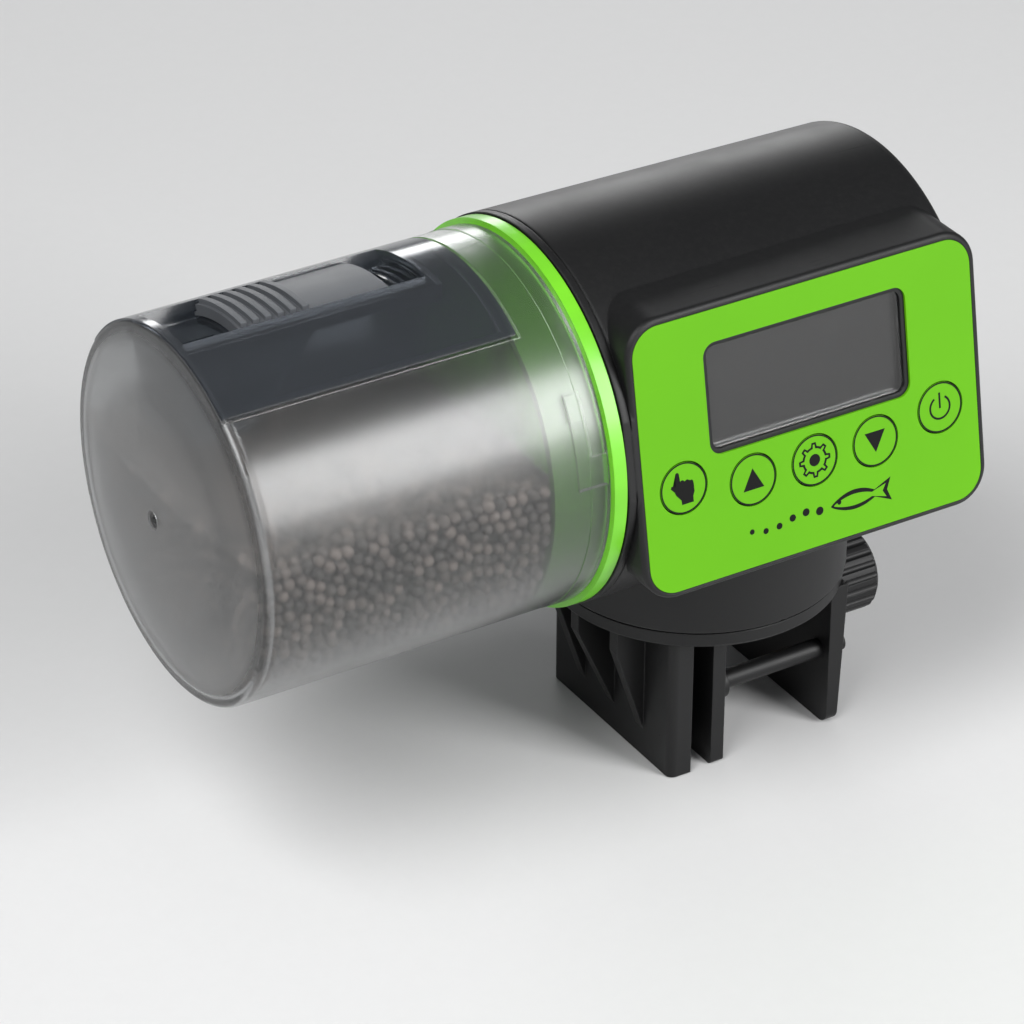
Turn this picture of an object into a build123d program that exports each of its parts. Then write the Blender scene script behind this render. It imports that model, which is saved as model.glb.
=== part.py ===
from build123d import *
import math
import os

# Automatic fish feeder for an aquarium rim. Millimetres, +Z up.
# X lies along the drum axis with the food drum at -X, and the key panel faces -Y.
# The origin is where the swivel axis meets the seat plane under the clamp disc.

# --- food drum ---
drum_r = 35.0           # outer radius of the barrel
drum_len = 68.0         # straight length of the barrel
drum_wall = 1.7
drum_dome = 3.3         # rise of the domed end
drum_edge = 1.3         # rounding of the domed end's rim
rim_len = 3.8           # thicker rim at the open end
rim_step = 0.15

# --- lid of the drum, angles about the drum axis, 0 = front, 90 = top ---
lid_mid = 99.0
lid_half = 43.4
lid_len = 57.9
lid_lap = 0.9           # depth of the rebate that the lid's skin lies in
lid_rebate = 1.4        # rebate past the lid's long edges, degrees
lid_plug = 41.2         # half angle of the part that fills the opening
lid_start = 0.6         # lid's skin from the barrel's closed end
lid_end_room = 0.6      # rebate past the lid's far end
mouth_in = 1.8          # barrel's opening inside the rebate's far end
plug_side = 0.1         # plug to the barrel's opening
slot_half = 14.5
slot_start = 2.2        # from the barrel's closed end
slot_len = 47.3
pan_drop = 1.4          # room under the lid's skin for the slider's tongues
pan_wall = 0.9
step_bed = 6.9          # lowered bed with finger steps at the slot's far end
step_drop = 1.2
step_pitch = 1.6
step_t = 0.8
steps = 4
outlet_len = 9.8
outlet_half = 12.5

# --- gate slider ---
gate_shut = 10.8        # travel towards the closed end
gate_open = 6.5         # travel past the rest place
gate_stop = 0.2         # left between the slider and the slot's end
gate_tongue = 0.7
gate_lift = 0.35        # slider above the pan's floor
gate_sink = 0.7         # slider's top under the lid's skin
grip_ribs = 6
grip_pitch = 2.4
grip_rib = 1.2
grip_height = 0.9

# --- feed chute under the outlet ---
chute_depth = 16.0
chute_floor = 11.5
chute_len = 27.5
chute_half = 8.0
chute_wall = 1.0

# --- drive hub ---
hub_ring = 2.6          # width of the green ring between drum and housing
hub_lip = 1.2           # ring outside the barrel
hub_sleeve = 10.4       # sleeve inside the barrel
hub_wall = 1.6
hub_gap = 0.7           # between the sleeve and the barrel
lug_angles = (30.0, 150.0, 270.0)
lug_height = 1.3
lug_half = 4.0
lug_len = 2.5
lug_back = 3.1          # from the barrel's open end
twist = 20.0            # turn that frees the barrel, degrees
magnet_r = 2.5
magnet_t = 1.5
magnet_at = 28.0        # from the drum axis, straight down

# --- control housing ---
housing_step = 1.5      # housing outside the barrel
housing_draft = 0.8
housing_len = 75.8
wall = 1.8
end_wall = 2.0
end_round = 2.0
hub_clear = 0.3
cap_t = 1.6             # rim of the end cap that carries the gears
cap_spigot = 2.5        # length of the cap's spigot behind the end wall
spigot_wall = 1.5
bead = 0.25             # snap bead round the spigot
groove = 0.35           # fine groove along the cap's seam

# --- key panel ---
panel_tilt = 10.56
panel_w = 71.5
panel_h = 50.1
panel_round = 5.5
panel_rim = 1.3
panel_edge = 0.9        # rounding of the rim's front edge
panel_proud = 3.5       # lower edge of the panel outside the housing's radius
panel_low = 19.7        # lower edge of the panel under the drum axis
panel_x = 0.45
overlay_t = 0.5
front_wall = 1.9
lcd_w = 41.0
lcd_h = 19.0
lcd_v = 33.6
lcd_round = 1.6
lcd_sink = 0.5
lcd_rim = 1.0
button_r = 4.75
button_gap = 0.25
button_flange = 1.0
button_travel = 0.4
button_flange_t = 0.8
button_free = 0.15      # key to switch at rest
buttons = {
    "feed": (-27.55, 19.0),
    "up": (-13.15, 16.5),
    "set": (0.0, 16.5),
    "down": (13.15, 16.5),
    "power": (27.55, 19.0),
}
board_w = 64.0
board_h = 43.0
board_t = 1.6
board_back = 6.0        # front of the board behind the panel's surface
switch_size = 6.0
switch_t = 1.6

# --- collar and swivel ---
collar_r = 28.7
collar_wall = 2.0
collar_z = 3.2
collar_drop = 5.8       # shell's lowest line above the collar's rim
boss_r = 8.5
boss_seat = 3.8         # washer seat above the shell's lowest line
stud_r = 5.0
swivel_run = 0.08

# --- clamp ---
disc_t = 2.9
disc_inset = 0.5
jaw_x = -13.2           # gripping face of the fixed jaw
jaw_t = 4.7
clamp_half = 20.7
clamp_drop = 30.0
rib_r = 26.2
rib_t = 2.5
rib_pitch = 10.2
rib_bend = 5.5
rib_foot = 24.0
plate_gap = 4.6         # rim gap at rest
plate_t = 2.8
plate_half = 20.5
plate_top = 2.2
wall_x = 17.5           # inner face of the screw wall
wall_top_t = 3.7
wall_low_t = 2.4
rod_r = 1.85
rod_y = 17.0
rod_z = -14.5
screw_r = 3.0
screw_z = -11.8
screw_tip_r = 2.2
nut_af = 10.0
nut_t = 2.6
knob_r = 8.2
knob_x = 24.7
knob_len = 13.3
knob_flutes = 22

# --- gear train: four equal pairs folded round the drum axis ---
module = 0.55
pinion_teeth = 12
wheel_teeth = 36
pressure = 25.0
backlash = 0.10
gear_t = 2.0
gear_gap = 0.5
gear_start = 0.7        # first gear behind the end wall
axle_r = 1.0
hub_bore_r = 2.5        # drive shaft in the hub and the bush
tail_r = 1.9            # drive shaft beside the gears
run = 0.05              # radial running clearance
post_r = 2.6
post_at = 25.0
post_angles = (30.0, 150.0, 210.0, 330.0)
gear_plate_t = 2.0
gear_plate_r = 28.0
gear_plate_front = 24.6
bush_r = 4.5
bush_flange = 6.2
motor_r = 10.0
motor_flat = 7.6
motor_len = 20.5
motor_cap_len = 4.5
motor_shaft_r = 0.75

# --- rear cover and batteries ---
cover_top = 128.0       # edges of the rear cover, angles about the drum axis
cover_low = 214.0
cover_x = 33.0
cover_screw_x = 29.0
cover_screw_in = 4.5    # degrees in from the cover's edge
cover_gap = 0.15
door_half = 28.5
door_x0 = -21.5
door_x1 = 31.0
cell_r = 7.25
cell_len = 50.5
cell_gap = 1.0
cell_inset = 12.2       # cell centres inside the housing's wall
tray_wall = 1.2
tray_end = 0.5
contact_t = 0.4

# --- fasteners ---
small_screw_r = 1.1
small_head_r = 2.1
small_head_t = 1.3

snug = 0.1              # between parts that stay together
gap = 0.3               # between parts that move past each other

# --- places worked out from the sizes above ---
housing_r = drum_r + housing_step
axis_z = collar_z + collar_drop + housing_r
housing_x0 = -38.3
housing_x1 = housing_x0 + housing_len
end_x = housing_x0 + end_wall
hub_x1 = housing_x0 - hub_clear
hub_x0 = hub_x1 - hub_ring
drum_x1 = hub_x0 - 0.2
drum_x0 = drum_x1 - drum_len
drum_ri = drum_r - drum_wall
sleeve_r = drum_ri - hub_gap
panel_y = -(housing_r + panel_proud)
panel_z = axis_z - panel_low
front_back = overlay_t + front_wall
disc_r = collar_r - disc_inset
plate_x0 = jaw_x + plate_gap
plate_x1 = plate_x0 + plate_t
gear_pitch_r = module * wheel_teeth / 2
pinion_pitch_r = module * pinion_teeth / 2
centres = gear_pitch_r + pinion_pitch_r
gear_x = [end_x + gear_start + i * (gear_t + gear_gap) for i in range(4)]
gear_plate_x0 = gear_x[3] + gear_t + 1.0
gear_plate_x1 = gear_plate_x0 + gear_plate_t
seat_z = axis_z - housing_r + boss_seat
edge_gap = math.degrees(cover_gap / housing_r)
cap_x1 = housing_x0 + cap_t
pan_r = drum_ri - pan_drop
slot_x0 = drum_x0 + slot_start
slot_x1 = slot_x0 + slot_len
gate_x0 = slot_x0 + gate_shut + gate_stop
gate_x1 = slot_x1 - gate_open - 2 * gate_stop
key_back = front_back + 0.05
switch_front = key_back + button_flange_t + button_travel + button_free

BASE = (Align.CENTER, Align.CENTER, Align.MIN)
PANEL = Plane(
    origin=(panel_x, panel_y, panel_z),
    x_dir=(1, 0, 0),
    z_dir=(0, -math.cos(math.radians(panel_tilt)), math.sin(math.radians(panel_tilt))),
)

parts = {}


# --- shared shapes ---
def section(x):
    """Plane across the drum axis at x, its own x towards the front and y up, facing -X."""
    return Plane(origin=(x, 0, axis_z), x_dir=(0, -1, 0), z_dir=(-1, 0, 0))


def spot(radius, angle):
    """Y and Z of a point at an angle about the drum axis."""
    a = math.radians(angle)
    return -radius * math.cos(a), axis_z + radius * math.sin(a)


def block(x0, x1, y0, y1, z0, z1):
    middle = Pos((x0 + x1) / 2, (y0 + y1) / 2, (z0 + z1) / 2)
    return middle * Box(x1 - x0, y1 - y0, z1 - z0)


def rod(r, x0, x1, y=0.0, z=axis_z):
    return Plane(origin=(x0, y, z), z_dir=(1, 0, 0)) * Cylinder(r, x1 - x0, align=BASE)


def post(r, z0, z1, x=0.0, y=0.0):
    return Pos(x, y, z0) * Cylinder(r, z1 - z0, align=BASE)


def spoke(r, x, angle, r0, r1):
    """Round bar standing out from the drum axis."""
    y, z = spot(r0, angle)
    a = math.radians(angle)
    out = Plane(origin=(x, y, z), z_dir=(0, -math.cos(a), math.sin(a)))
    return out * Cylinder(r, r1 - r0, align=BASE)


def sector(r0, r1, a0, a1, x0, x1):
    """Part of a tube about the drum axis."""
    outer = CenterArc((0, 0), r1, a0, a1 - a0)
    inner = CenterArc((0, 0), r0, a0, a1 - a0)
    face = make_face([outer, inner, Line(inner @ 0, outer @ 0), Line(inner @ 1, outer @ 1)])
    return extrude(section(x1) * face, x1 - x0)


def turned(*edges):
    """Solid of revolution about the drum axis from edges drawn as x and radius."""
    return Pos(0, 0, axis_z) * revolve(make_face(list(edges)), Axis.X)


def slab(w, h, r, u, v, d0, d1):
    """Plate with rounded corners between two depths behind the panel's surface."""
    return extrude(PANEL * Pos(u, v, -d1) * RectangleRounded(w, h, r), d1 - d0, dir=PANEL.z_dir)


def peg(r, u, v, d0, d1):
    """Round bar between two depths behind the panel's surface."""
    return PANEL * Pos(u, v, -d1) * Cylinder(r, d1 - d0, align=BASE)


def pan_screw(length, plane, r=small_screw_r, head_r=small_head_r, head_t=small_head_t):
    """Round-headed screw whose shank runs from the plane along its normal."""
    shank = plane * Cylinder(r, length, align=BASE)
    head = plane * Pos(0, 0, -head_t) * Cylinder(head_r, head_t, align=BASE)
    slot = plane * Pos(0, 0, -head_t) * Box(head_r * 1.3, 0.5, 1.0)
    return shank + head - slot - slot.rotate(Axis(plane.origin, plane.z_dir), 90)


def keep(name, shape):
    parts[name] = shape


# --- drum ---
def dome(inset):
    """End profile from the rim to the axis, moved inwards by inset."""
    edge_r = drum_r - inset
    x = drum_x0 + inset
    rise = drum_dome
    rim = (x, edge_r - drum_edge)
    tip = (x - rise, 0)
    half = ((rim[0] * 0.25 + tip[0] * 0.75), rim[1] / 2)
    corner = ThreePointArc((x + drum_edge, edge_r), (x + drum_edge * 0.29, edge_r - drum_edge * 0.29), rim)
    return corner, ThreePointArc(rim, half, tip)


def drum_shell():
    outer_round, outer_dome = dome(0)
    inner_round, inner_dome = dome(drum_wall)
    step_x = drum_x1 - rim_len
    outside = Polyline(
        outer_round @ 0, (step_x, drum_r), (step_x, drum_r + rim_step), (drum_x1, drum_r + rim_step)
    )
    inside = Polyline((drum_x1, drum_r + rim_step), (drum_x1, drum_ri), inner_round @ 0)
    closing = Line(inner_dome @ 1, outer_dome @ 1)
    return turned(outside, inside, inner_round, inner_dome, closing, outer_dome, outer_round)


def drum_barrel():
    shell = drum_shell()
    side = lid_half + lid_rebate
    lid_x1 = drum_x0 + lid_len + lid_end_room
    rebate_x0 = drum_x0 + lid_start / 2
    shell -= sector(drum_r - lid_lap, drum_r + 1, lid_mid - side, lid_mid + side, rebate_x0, lid_x1)
    side = lid_plug + 0.5
    mouth_x0 = drum_x0 + drum_wall - plug_side
    mouth_x1 = drum_x0 + lid_len - mouth_in
    shell -= sector(drum_ri - 2, drum_r, lid_mid - side, lid_mid + side, mouth_x0, mouth_x1)
    track_r = sleeve_r + lug_height + gap
    lug_x1 = drum_x1 - lug_back
    track_x0 = lug_x1 - lug_len - gap
    reach = lug_half + 0.8
    for a in lug_angles:
        entry = a - twist
        shell -= sector(drum_ri - 1, track_r, entry - reach, a + reach, track_x0, lug_x1 + gap)
        shell -= sector(drum_ri - 1, track_r, entry - reach, entry + reach, track_x0, drum_x1 + 1)
    tip_x = drum_x0 - drum_dome
    return shell - rod(1.8, tip_x - 1, tip_x + 0.35) - rod(0.8, tip_x, tip_x + 1.1)


def lid_part(r0, r1, half, x0, x1):
    """Curved plate centred on the lid."""
    return sector(r0, r1, lid_mid - half, lid_mid + half, x0, x1)


def drum_lid():
    x1 = drum_x0 + lid_len
    under = drum_r - lid_lap + snug
    plug_x0 = drum_x0 + drum_wall + plug_side
    side = slot_half + 2.0
    lid = lid_part(under, drum_r, lid_half, drum_x0 + lid_start, x1)
    lid += lid_part(drum_ri, under, lid_plug, plug_x0, x1 - mouth_in - 4 * plug_side)
    lid += lid_part(pan_r - pan_wall, drum_ri, side + 1.5, plug_x0, slot_x1 + 2.2)
    lid += lid_part(pan_r - pan_wall - step_drop, pan_r, side + 1.5, slot_x1 - step_bed - 1, slot_x1 + 2.2)
    lid -= lid_part(pan_r, drum_ri, side, slot_x0, slot_x1 + 0.8)
    lid -= lid_part(pan_r, drum_r + 1, slot_half, slot_x0, slot_x1)
    lid -= lid_part(pan_r - step_drop, pan_r, slot_half, slot_x1 - step_bed, slot_x1)
    for k in range(steps):
        x = slot_x1 - 1.2 - step_t - step_pitch * k
        lid += lid_part(pan_r - step_drop - 0.2, pan_r, slot_half + 0.2, x, x + step_t)
    hole_x0 = slot_x0 + lid_start
    return lid - lid_part(pan_r - 2, pan_r + 1, outlet_half, hole_x0, hole_x0 + outlet_len)


def gate_slider():
    low = pan_r + gate_lift
    top = drum_r - gate_sink
    body = lid_part(low, top, slot_half - 0.6, gate_x0, gate_x1)
    body += lid_part(low, low + gate_tongue, slot_half + 1.3, gate_x0, gate_x1)
    for k in range(grip_ribs):
        x = gate_x0 + 0.5 + grip_pitch * k
        body += lid_part(top - 0.3, top + grip_height, slot_half - 1.6, x, x + grip_rib)
    return body


def feed_chute():
    """Scoop that lets a measured part of the feed reach the outlet at each turn."""
    a = math.radians(lid_mid)
    side = Plane(origin=(0, 0, axis_z), x_dir=(1, 0, 0), z_dir=(0, -math.sin(a), -math.cos(a)))
    top = pan_r - pan_wall
    x0 = drum_x0 + drum_wall + 0.4
    x1 = x0 + chute_floor
    x2 = x0 + chute_len
    low = top - chute_depth
    t = chute_wall
    outer = Polyline((x0, top + 2), (x0, low), (x1, low), (x2, top), (x2, top + 2), close=True)
    inner = Polyline(
        (x0 + t, top + 3), (x0 + t, low + t), (x1 - t / 2, low + t), (x2 - 2 * t, top + 3), close=True
    )
    solid = extrude(side * make_face(outer), chute_half, both=True)
    solid -= extrude(side * make_face(inner), chute_half - t, both=True)
    for k in range(-1, 2):
        fin = Polyline((x0, top - 7), (x0 + 12, top - 7), (x0 + 12, top - 2.5), (x0, top - 2.5), close=True)
        solid += extrude(side.offset(4.0 * k) * make_face(fin), t * 0.4, both=True)
    inlet = Polyline(
        (x0 + 3, low + 3), (x1 + 1, low + 3), (x1 + 5.5, top - 7.5), (x0 + 3, top - 8.5), close=True
    )
    solid -= extrude(side.offset(chute_half) * make_face(inlet), t * 1.5, both=True)
    return solid & rod(top, x0 - 1, x2 + 1)


# --- hub and gear train ---
def drive_hub():
    ring_r = drum_r + hub_lip
    web_x1 = hub_x1 - 0.6
    hub = rod(ring_r, hub_x0, web_x1)
    hub += rod(ring_r, web_x1, hub_x1) - rod(ring_r - 2, web_x1, hub_x1)
    sleeve_x0 = hub_x0 - hub_sleeve
    hub += rod(sleeve_r, sleeve_x0, hub_x0) - rod(sleeve_r - hub_wall, sleeve_x0, hub_x0)
    lug_x1 = drum_x1 - lug_back
    lug_x0 = lug_x1 - lug_len
    for a in lug_angles:
        hub += sector(sleeve_r - 0.5, sleeve_r + lug_height, a - lug_half, a + lug_half, lug_x0, lug_x1)
        hub += sector(5, sleeve_r - 0.5, a + 58.5, a + 61.5, hub_x0 - 3, hub_x0)
    hub += rod(6, hub_x0 - 6, hub_x0)
    hub -= d_bar(hub_bore_r, hub_x0 - 4, hub_x1)
    hub -= rod(small_screw_r, hub_x0 - 7, hub_x0 - 3)
    y, z = spot(magnet_at, 270)
    return hub - rod(magnet_r, web_x1 - magnet_t, hub_x1 + 1, y, z)


def d_bar(r, x0, x1):
    """Round bar with one flat along it."""
    flat = block(x0 - 1, x1 + 1, -r, r, axis_z + r * 0.75, axis_z + 2 * r)
    return rod(r, x0, x1) - flat


def output_shaft():
    gear_end = gear_x[0] + gear_t
    shaft = d_bar(hub_bore_r, hub_x0 - 4, hub_x1)
    shaft += rod(hub_bore_r, hub_x1, gear_end)
    shaft += rod(tail_r, gear_end, gear_plate_x1 + 0.4)
    return shaft - rod(small_screw_r, hub_x0 - 5, hub_x0 + 1)


def gear(teeth, x0, x1, centre, angle, hole_r, phase=0.0):
    """Spur gear about the X axis with a tooth centred on the given angle, plus half a tooth times phase."""
    rp = module * teeth / 2
    rb = rp * math.cos(math.radians(pressure))
    tip = rp + module
    root = rp - 1.25 * module
    start = max(rb, root)

    def half_width(r):
        roll = math.acos(min(1.0, rb / r))
        ref = math.radians(pressure)
        spread = math.tan(ref) - ref - (math.tan(roll) - roll)
        return math.pi / (2 * teeth) + spread - backlash / (2 * rp)

    def at(r, a):
        return r * math.cos(a), r * math.sin(a)

    edges = []
    pitch = 2 * math.pi / teeth
    first = math.radians(angle) + phase * pitch / 2
    middle = (start + tip) / 2
    for k in range(teeth):
        a = first + k * pitch
        low, mid, high = half_width(start), half_width(middle), half_width(tip)
        edges.append(ThreePointArc(at(start, a - low), at(middle, a - mid), at(tip, a - high)))
        edges.append(Line(at(tip, a - high), at(tip, a + high)))
        edges.append(ThreePointArc(at(tip, a + high), at(middle, a + mid), at(start, a + low)))
        if root < start - 0.01:
            edges.append(Line(at(start, a + low), at(root, a + low)))
            edges.append(Line(at(root, a + low), at(root, a + pitch - low)))
            edges.append(Line(at(root, a + pitch - low), at(start, a + pitch - low)))
        else:
            edges.append(Line(at(start, a + low), at(start, a + pitch - low)))
    face = make_face(edges) - Circle(hole_r)
    where = section(x1) * Pos(*centre)
    return extrude(where * face, x1 - x0, dir=(-1, 0, 0))


def axle_place(k):
    """Centre of axle k in the section plane, stepping round the drum axis."""
    a = math.radians(120 - 60 * k)
    return centres * math.cos(a), centres * math.sin(a)


def axle_rod(r, k, x0, x1):
    p, q = axle_place(k)
    return rod(r, x0, x1, -p, axis_z + q)


def compound_gear(k):
    """Idler k: its pinion drives the gear before it, its wheel is driven by the next pinion."""
    centre = axle_place(k)
    to_last = {0: 300.0, 1: 180.0, 2: 120.0}[k]
    to_next = {0: 0.0, 1: 300.0, 2: 240.0}[k]
    bore = axle_r + run
    wheel_x0 = gear_x[k + 1]
    pinion_x0 = gear_x[k] - 0.2
    pinion = gear(pinion_teeth, pinion_x0, wheel_x0, centre, to_last, bore, phase=1)
    wheel = gear(wheel_teeth, wheel_x0, wheel_x0 + gear_t, centre, to_next, bore)
    front = axle_rod(2, k, end_x + 0.2, pinion_x0) - axle_rod(bore, k, end_x, pinion_x0)
    back = axle_rod(2, k, wheel_x0 + gear_t, gear_plate_x0 - 0.2)
    back -= axle_rod(bore, k, wheel_x0, gear_plate_x0)
    return pinion + wheel + front + back


def gear_axles():
    return [axle_rod(axle_r, k, end_x - 1, gear_plate_x0 + 1) for k in range(3)]


def gearbox_plate():
    plate = rod(gear_plate_r, gear_plate_x0, gear_plate_x1)
    plate &= block(-60, 0, -gear_plate_front, gear_plate_r, 0, axis_z + gear_plate_r)
    for k in range(3):
        plate -= axle_rod(axle_r, k, gear_plate_x0 - 1, gear_plate_x0 + 1)
    plate -= rod(tail_r + run, gear_plate_x0 - 1, gear_plate_x1 + 1)
    plate -= axle_rod(3.1, 3, gear_plate_x0 - 1, gear_plate_x1 + 1)
    for y, z in gear_posts():
        plate -= rod(small_screw_r + snug, gear_plate_x0 - 1, gear_plate_x1 + 1, y, z)
    for y, z in motor_screw_places():
        plate -= rod(small_screw_r, gear_plate_x0 - 1, gear_plate_x1 + 1, y, z)
    return plate


def motor_screw_places():
    p, q = axle_place(3)
    return [(-p - 6.5, axis_z + q), (-p + 6.5, axis_z + q)]


def motor_can():
    p, q = axle_place(3)
    x1 = gear_plate_x1 + motor_len
    can = axle_rod(motor_r, 3, gear_plate_x1, x1)
    can &= block(-60, 60, -p - motor_r, -p + motor_r, axis_z + q - motor_flat, axis_z + q + motor_flat)
    can += axle_rod(3, 3, gear_plate_x0 + 0.2, gear_plate_x1)
    can -= axle_rod(motor_shaft_r + run, 3, gear_plate_x0 - 1, gear_plate_x1 + 13)
    for y, z in motor_screw_places():
        can -= rod(small_screw_r, gear_plate_x1 - 1, gear_plate_x1 + 3, y, z)
    return can


def motor_cap():
    p, q = axle_place(3)
    x0 = gear_plate_x1 + motor_len
    x1 = x0 + motor_cap_len
    cap = axle_rod(motor_r - 0.4, 3, x0, x1)
    cap &= block(-60, 60, -p - 9, -p + 9, axis_z + q - motor_flat + 0.4, axis_z + q + motor_flat - 0.4)
    cap += axle_rod(3, 3, x1, x1 + 1)
    for side in (-1, 1):
        y = -p + side * 5
        cap += block(x1 - 0.5, x1 + 3, y - 1.2, y + 1.2, axis_z + q - 0.2, axis_z + q + 0.2)
    return cap


def motor_screws():
    screws = []
    for y, z in motor_screw_places():
        plane = Plane(origin=(gear_plate_x0, y, z), x_dir=(0, 1, 0), z_dir=(1, 0, 0))
        screws.append(pan_screw(4.5, plane, head_r=1.9, head_t=0.7))
    return screws


def gearbox_screws():
    screws = []
    for y, z in gear_posts():
        plane = Plane(origin=(gear_plate_x1, y, z), x_dir=(0, 1, 0), z_dir=(-1, 0, 0))
        screws.append(pan_screw(8, plane, head_t=1.1))
    return screws


# --- control housing ---
def housing_cone(inset, x0=housing_x0, x1=housing_x1):
    """The housing's tapered cylinder, moved inwards by inset."""
    def radius(x):
        return housing_r - inset - housing_draft * (x - housing_x0) / housing_len
    return Plane(origin=(x0, 0, axis_z), z_dir=(1, 0, 0)) * Cone(radius(x0), radius(x1), x1 - x0, align=BASE)


def panel_box(inset, depth):
    """The box behind the key panel, running back level into the tapered cylinder."""
    w = panel_w + 2 * (panel_rim - inset)
    h = panel_h + 2 * (panel_rim - inset)
    face = PANEL * Pos(0, panel_h / 2, -depth) * RectangleRounded(w, h, panel_round + panel_rim - inset)
    return extrude(face, 20, dir=(0, 1, 0))


def rounded_box():
    """The panel box with its front edge rounded."""
    box = panel_box(0, 0)
    front = [e for e in box.edges() if abs((e.center() - PANEL.origin).dot(PANEL.z_dir)) < 0.01]
    return fillet(front, panel_edge)


def ahead_of_panel(depth):
    return PANEL * Pos(0, 20, -depth) * Box(200, 200, 60, align=BASE)


def housing_outside():
    cone = housing_cone(0)
    cone = fillet(cone.edges().group_by(Axis.X)[-1], end_round)
    return cone - ahead_of_panel(0) + rounded_box()


def housing_cavity():
    cone = housing_cone(wall, housing_x0 - 1, housing_x1 - wall)
    return cone - ahead_of_panel(front_back) + panel_box(wall, front_back)


def seam_groove():
    return housing_cone(-1, cap_x1 - groove / 2, cap_x1 + groove / 2) - housing_cone(groove)


def bead_ring(depth):
    """Ring standing out of the spigot, or cut into the housing for it."""
    x = end_x + cap_spigot / 2
    return housing_cone(wall - depth, x - 0.5 - depth, x + 0.5 + depth) - housing_cone(wall + snug + 0.1)


def rear_window(a0, a1, x0, x1):
    return sector(housing_r - 12, housing_r + 2, a0, a1, x0, x1)


def door_window(margin, x_margin):
    """Opening for the battery door, larger all round by the margins."""
    half = door_half + margin
    return rear_window(180 - half, 180 + half, door_x0 - x_margin, door_x1 + x_margin)


def cover_screw_places():
    """Place along X, angle, and which way the cover's nearest long edge lies."""
    top = cover_top + cover_screw_in
    low = cover_low - cover_screw_in
    return [(-cover_screw_x, top, -1), (cover_screw_x, top, -1), (-cover_screw_x, low, 1)]


def screw_lug(x, a, side):
    """Block under the cover's corner, joined to the shell beyond the cover's edge."""
    under = housing_r - wall - 0.9
    edge = cover_top if side < 0 else cover_low
    a0, a1 = sorted((a - 4.5 * side, edge + 4 * side))
    f0, f1 = sorted((edge + 0.2 * side, edge + 4 * side))
    lug = sector(under - 5.6, under, a0, a1, x - 4, x + 4)
    return lug + (sector(under - 1, housing_r, f0, f1, x - 4, x + 4) & housing_cone(0.5))


def gear_posts():
    return [spot(post_at, a) for a in post_angles]


def end_cap():
    """Cap at the drum end, which carries the gears on its posts and snaps into the housing."""
    fit = wall + snug
    cap = housing_outside() & block(housing_x0 - 1, cap_x1, -60, 60, 0, 120)
    plug = housing_cone(fit, cap_x1 - 0.5, end_x + cap_spigot)
    plug += bead_ring(bead)
    plug -= housing_cone(fit + spigot_wall, end_x, end_x + cap_spigot + 1)
    cap += plug - ahead_of_panel(front_back + gap)
    for y, z in gear_posts():
        cap += rod(post_r, end_x - 0.5, gear_plate_x0, y, z)
        cap -= rod(small_screw_r, gear_plate_x0 - 7, gear_plate_x0 + 1, y, z)
    for k in range(3):
        cap -= axle_rod(axle_r, k, end_x - 1, end_x + 1)
    cap -= rod(bush_r, housing_x0 - 1, end_x + 1)
    return cap - seam_groove()


def main_housing():
    outside = housing_outside() & block(cap_x1, housing_x1 + 1, -60, 60, 0, 120)
    collar_top = axis_z - 15
    shell = outside + fillet(post(collar_r, collar_z, collar_top).edges().group_by(Axis.Z)[0], 0.6)
    shell -= housing_cavity()
    shell -= bead_ring(bead + gap / 2)
    shell -= post(collar_r - collar_wall, collar_z, collar_top) - outside
    shell -= rear_window(cover_top, cover_low, -cover_x, cover_x)
    boss_foot = disc_t + gap + 0.4
    shell += post(boss_r, boss_foot, seat_z)
    shell -= post(stud_r + swivel_run, 0, seat_z + 1)
    for x, a, side in cover_screw_places():
        shell += screw_lug(x, a, side)
        shell -= spoke(small_screw_r, x, a, housing_r - wall - 5.5, housing_r + 3)
    return panel_cuts(shell - seam_groove())


def board_post_places():
    return [(u, v) for u in (-29.5, 29.5) for v in (8.5, 43.0)]


def panel_cuts(shell):
    middle = panel_h / 2
    lcd = slab(lcd_w + 2 * snug, lcd_h + 2 * snug, lcd_round, 0, lcd_v, -1, front_back + 1)
    shell -= slab(panel_w + 2 * snug, panel_h + 2 * snug, panel_round, 0, middle, -1, overlay_t)
    shell -= lcd
    for u, v in buttons.values():
        shell -= peg(button_r + button_gap, u, v, 0, front_back + 1)
    for u, v in board_post_places():
        shell += peg(2.2, u, v, front_back - 0.5, board_back)
        shell -= peg(small_screw_r - 0.1, u, v, front_back + 0.3, board_back + 1)
    return shell


def rear_cover():
    g = cover_gap
    skin = housing_cone(0) - housing_cone(wall)
    cover = skin & rear_window(cover_top + edge_gap, cover_low - edge_gap, g - cover_x, cover_x - g)
    cover -= door_window(0, 0)
    ledge = housing_cone(1.0) - housing_cone(wall)
    cover += ledge & (door_window(0.1, 0.1) - door_window(-2.2, -1.5))
    for x, a, _ in cover_screw_places():
        cover -= spoke(small_screw_r + snug, x, a, housing_r - 5, housing_r + 3)
        cover -= spoke(small_head_r + 0.2, x, a, housing_r - 1.1, housing_r + 3)
    return cover


def cover_screws():
    screws = []
    for x, a, _ in cover_screw_places():
        y, z = spot(housing_r - 1.1, a)
        r = math.radians(a)
        plane = Plane(origin=(x, y, z), x_dir=(1, 0, 0), z_dir=(0, math.cos(r), -math.sin(r)))
        screws.append(pan_screw(5.5, plane, head_t=0.7))
    return screws


def battery_door():
    g = cover_gap
    skin = housing_cone(0) - housing_cone(1.0 - snug)
    door = skin & door_window(-edge_gap, -g)
    inner = housing_cone(0.6) - housing_cone(wall + 0.2)
    door += inner & door_window(-2.6, -2)
    for k in range(4):
        x = door_x1 - 5 - 1.8 * k
        door -= sector(housing_r - housing_draft - 0.5, housing_r + 1, 172, 188, x, x + 0.9)
    return door


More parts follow.
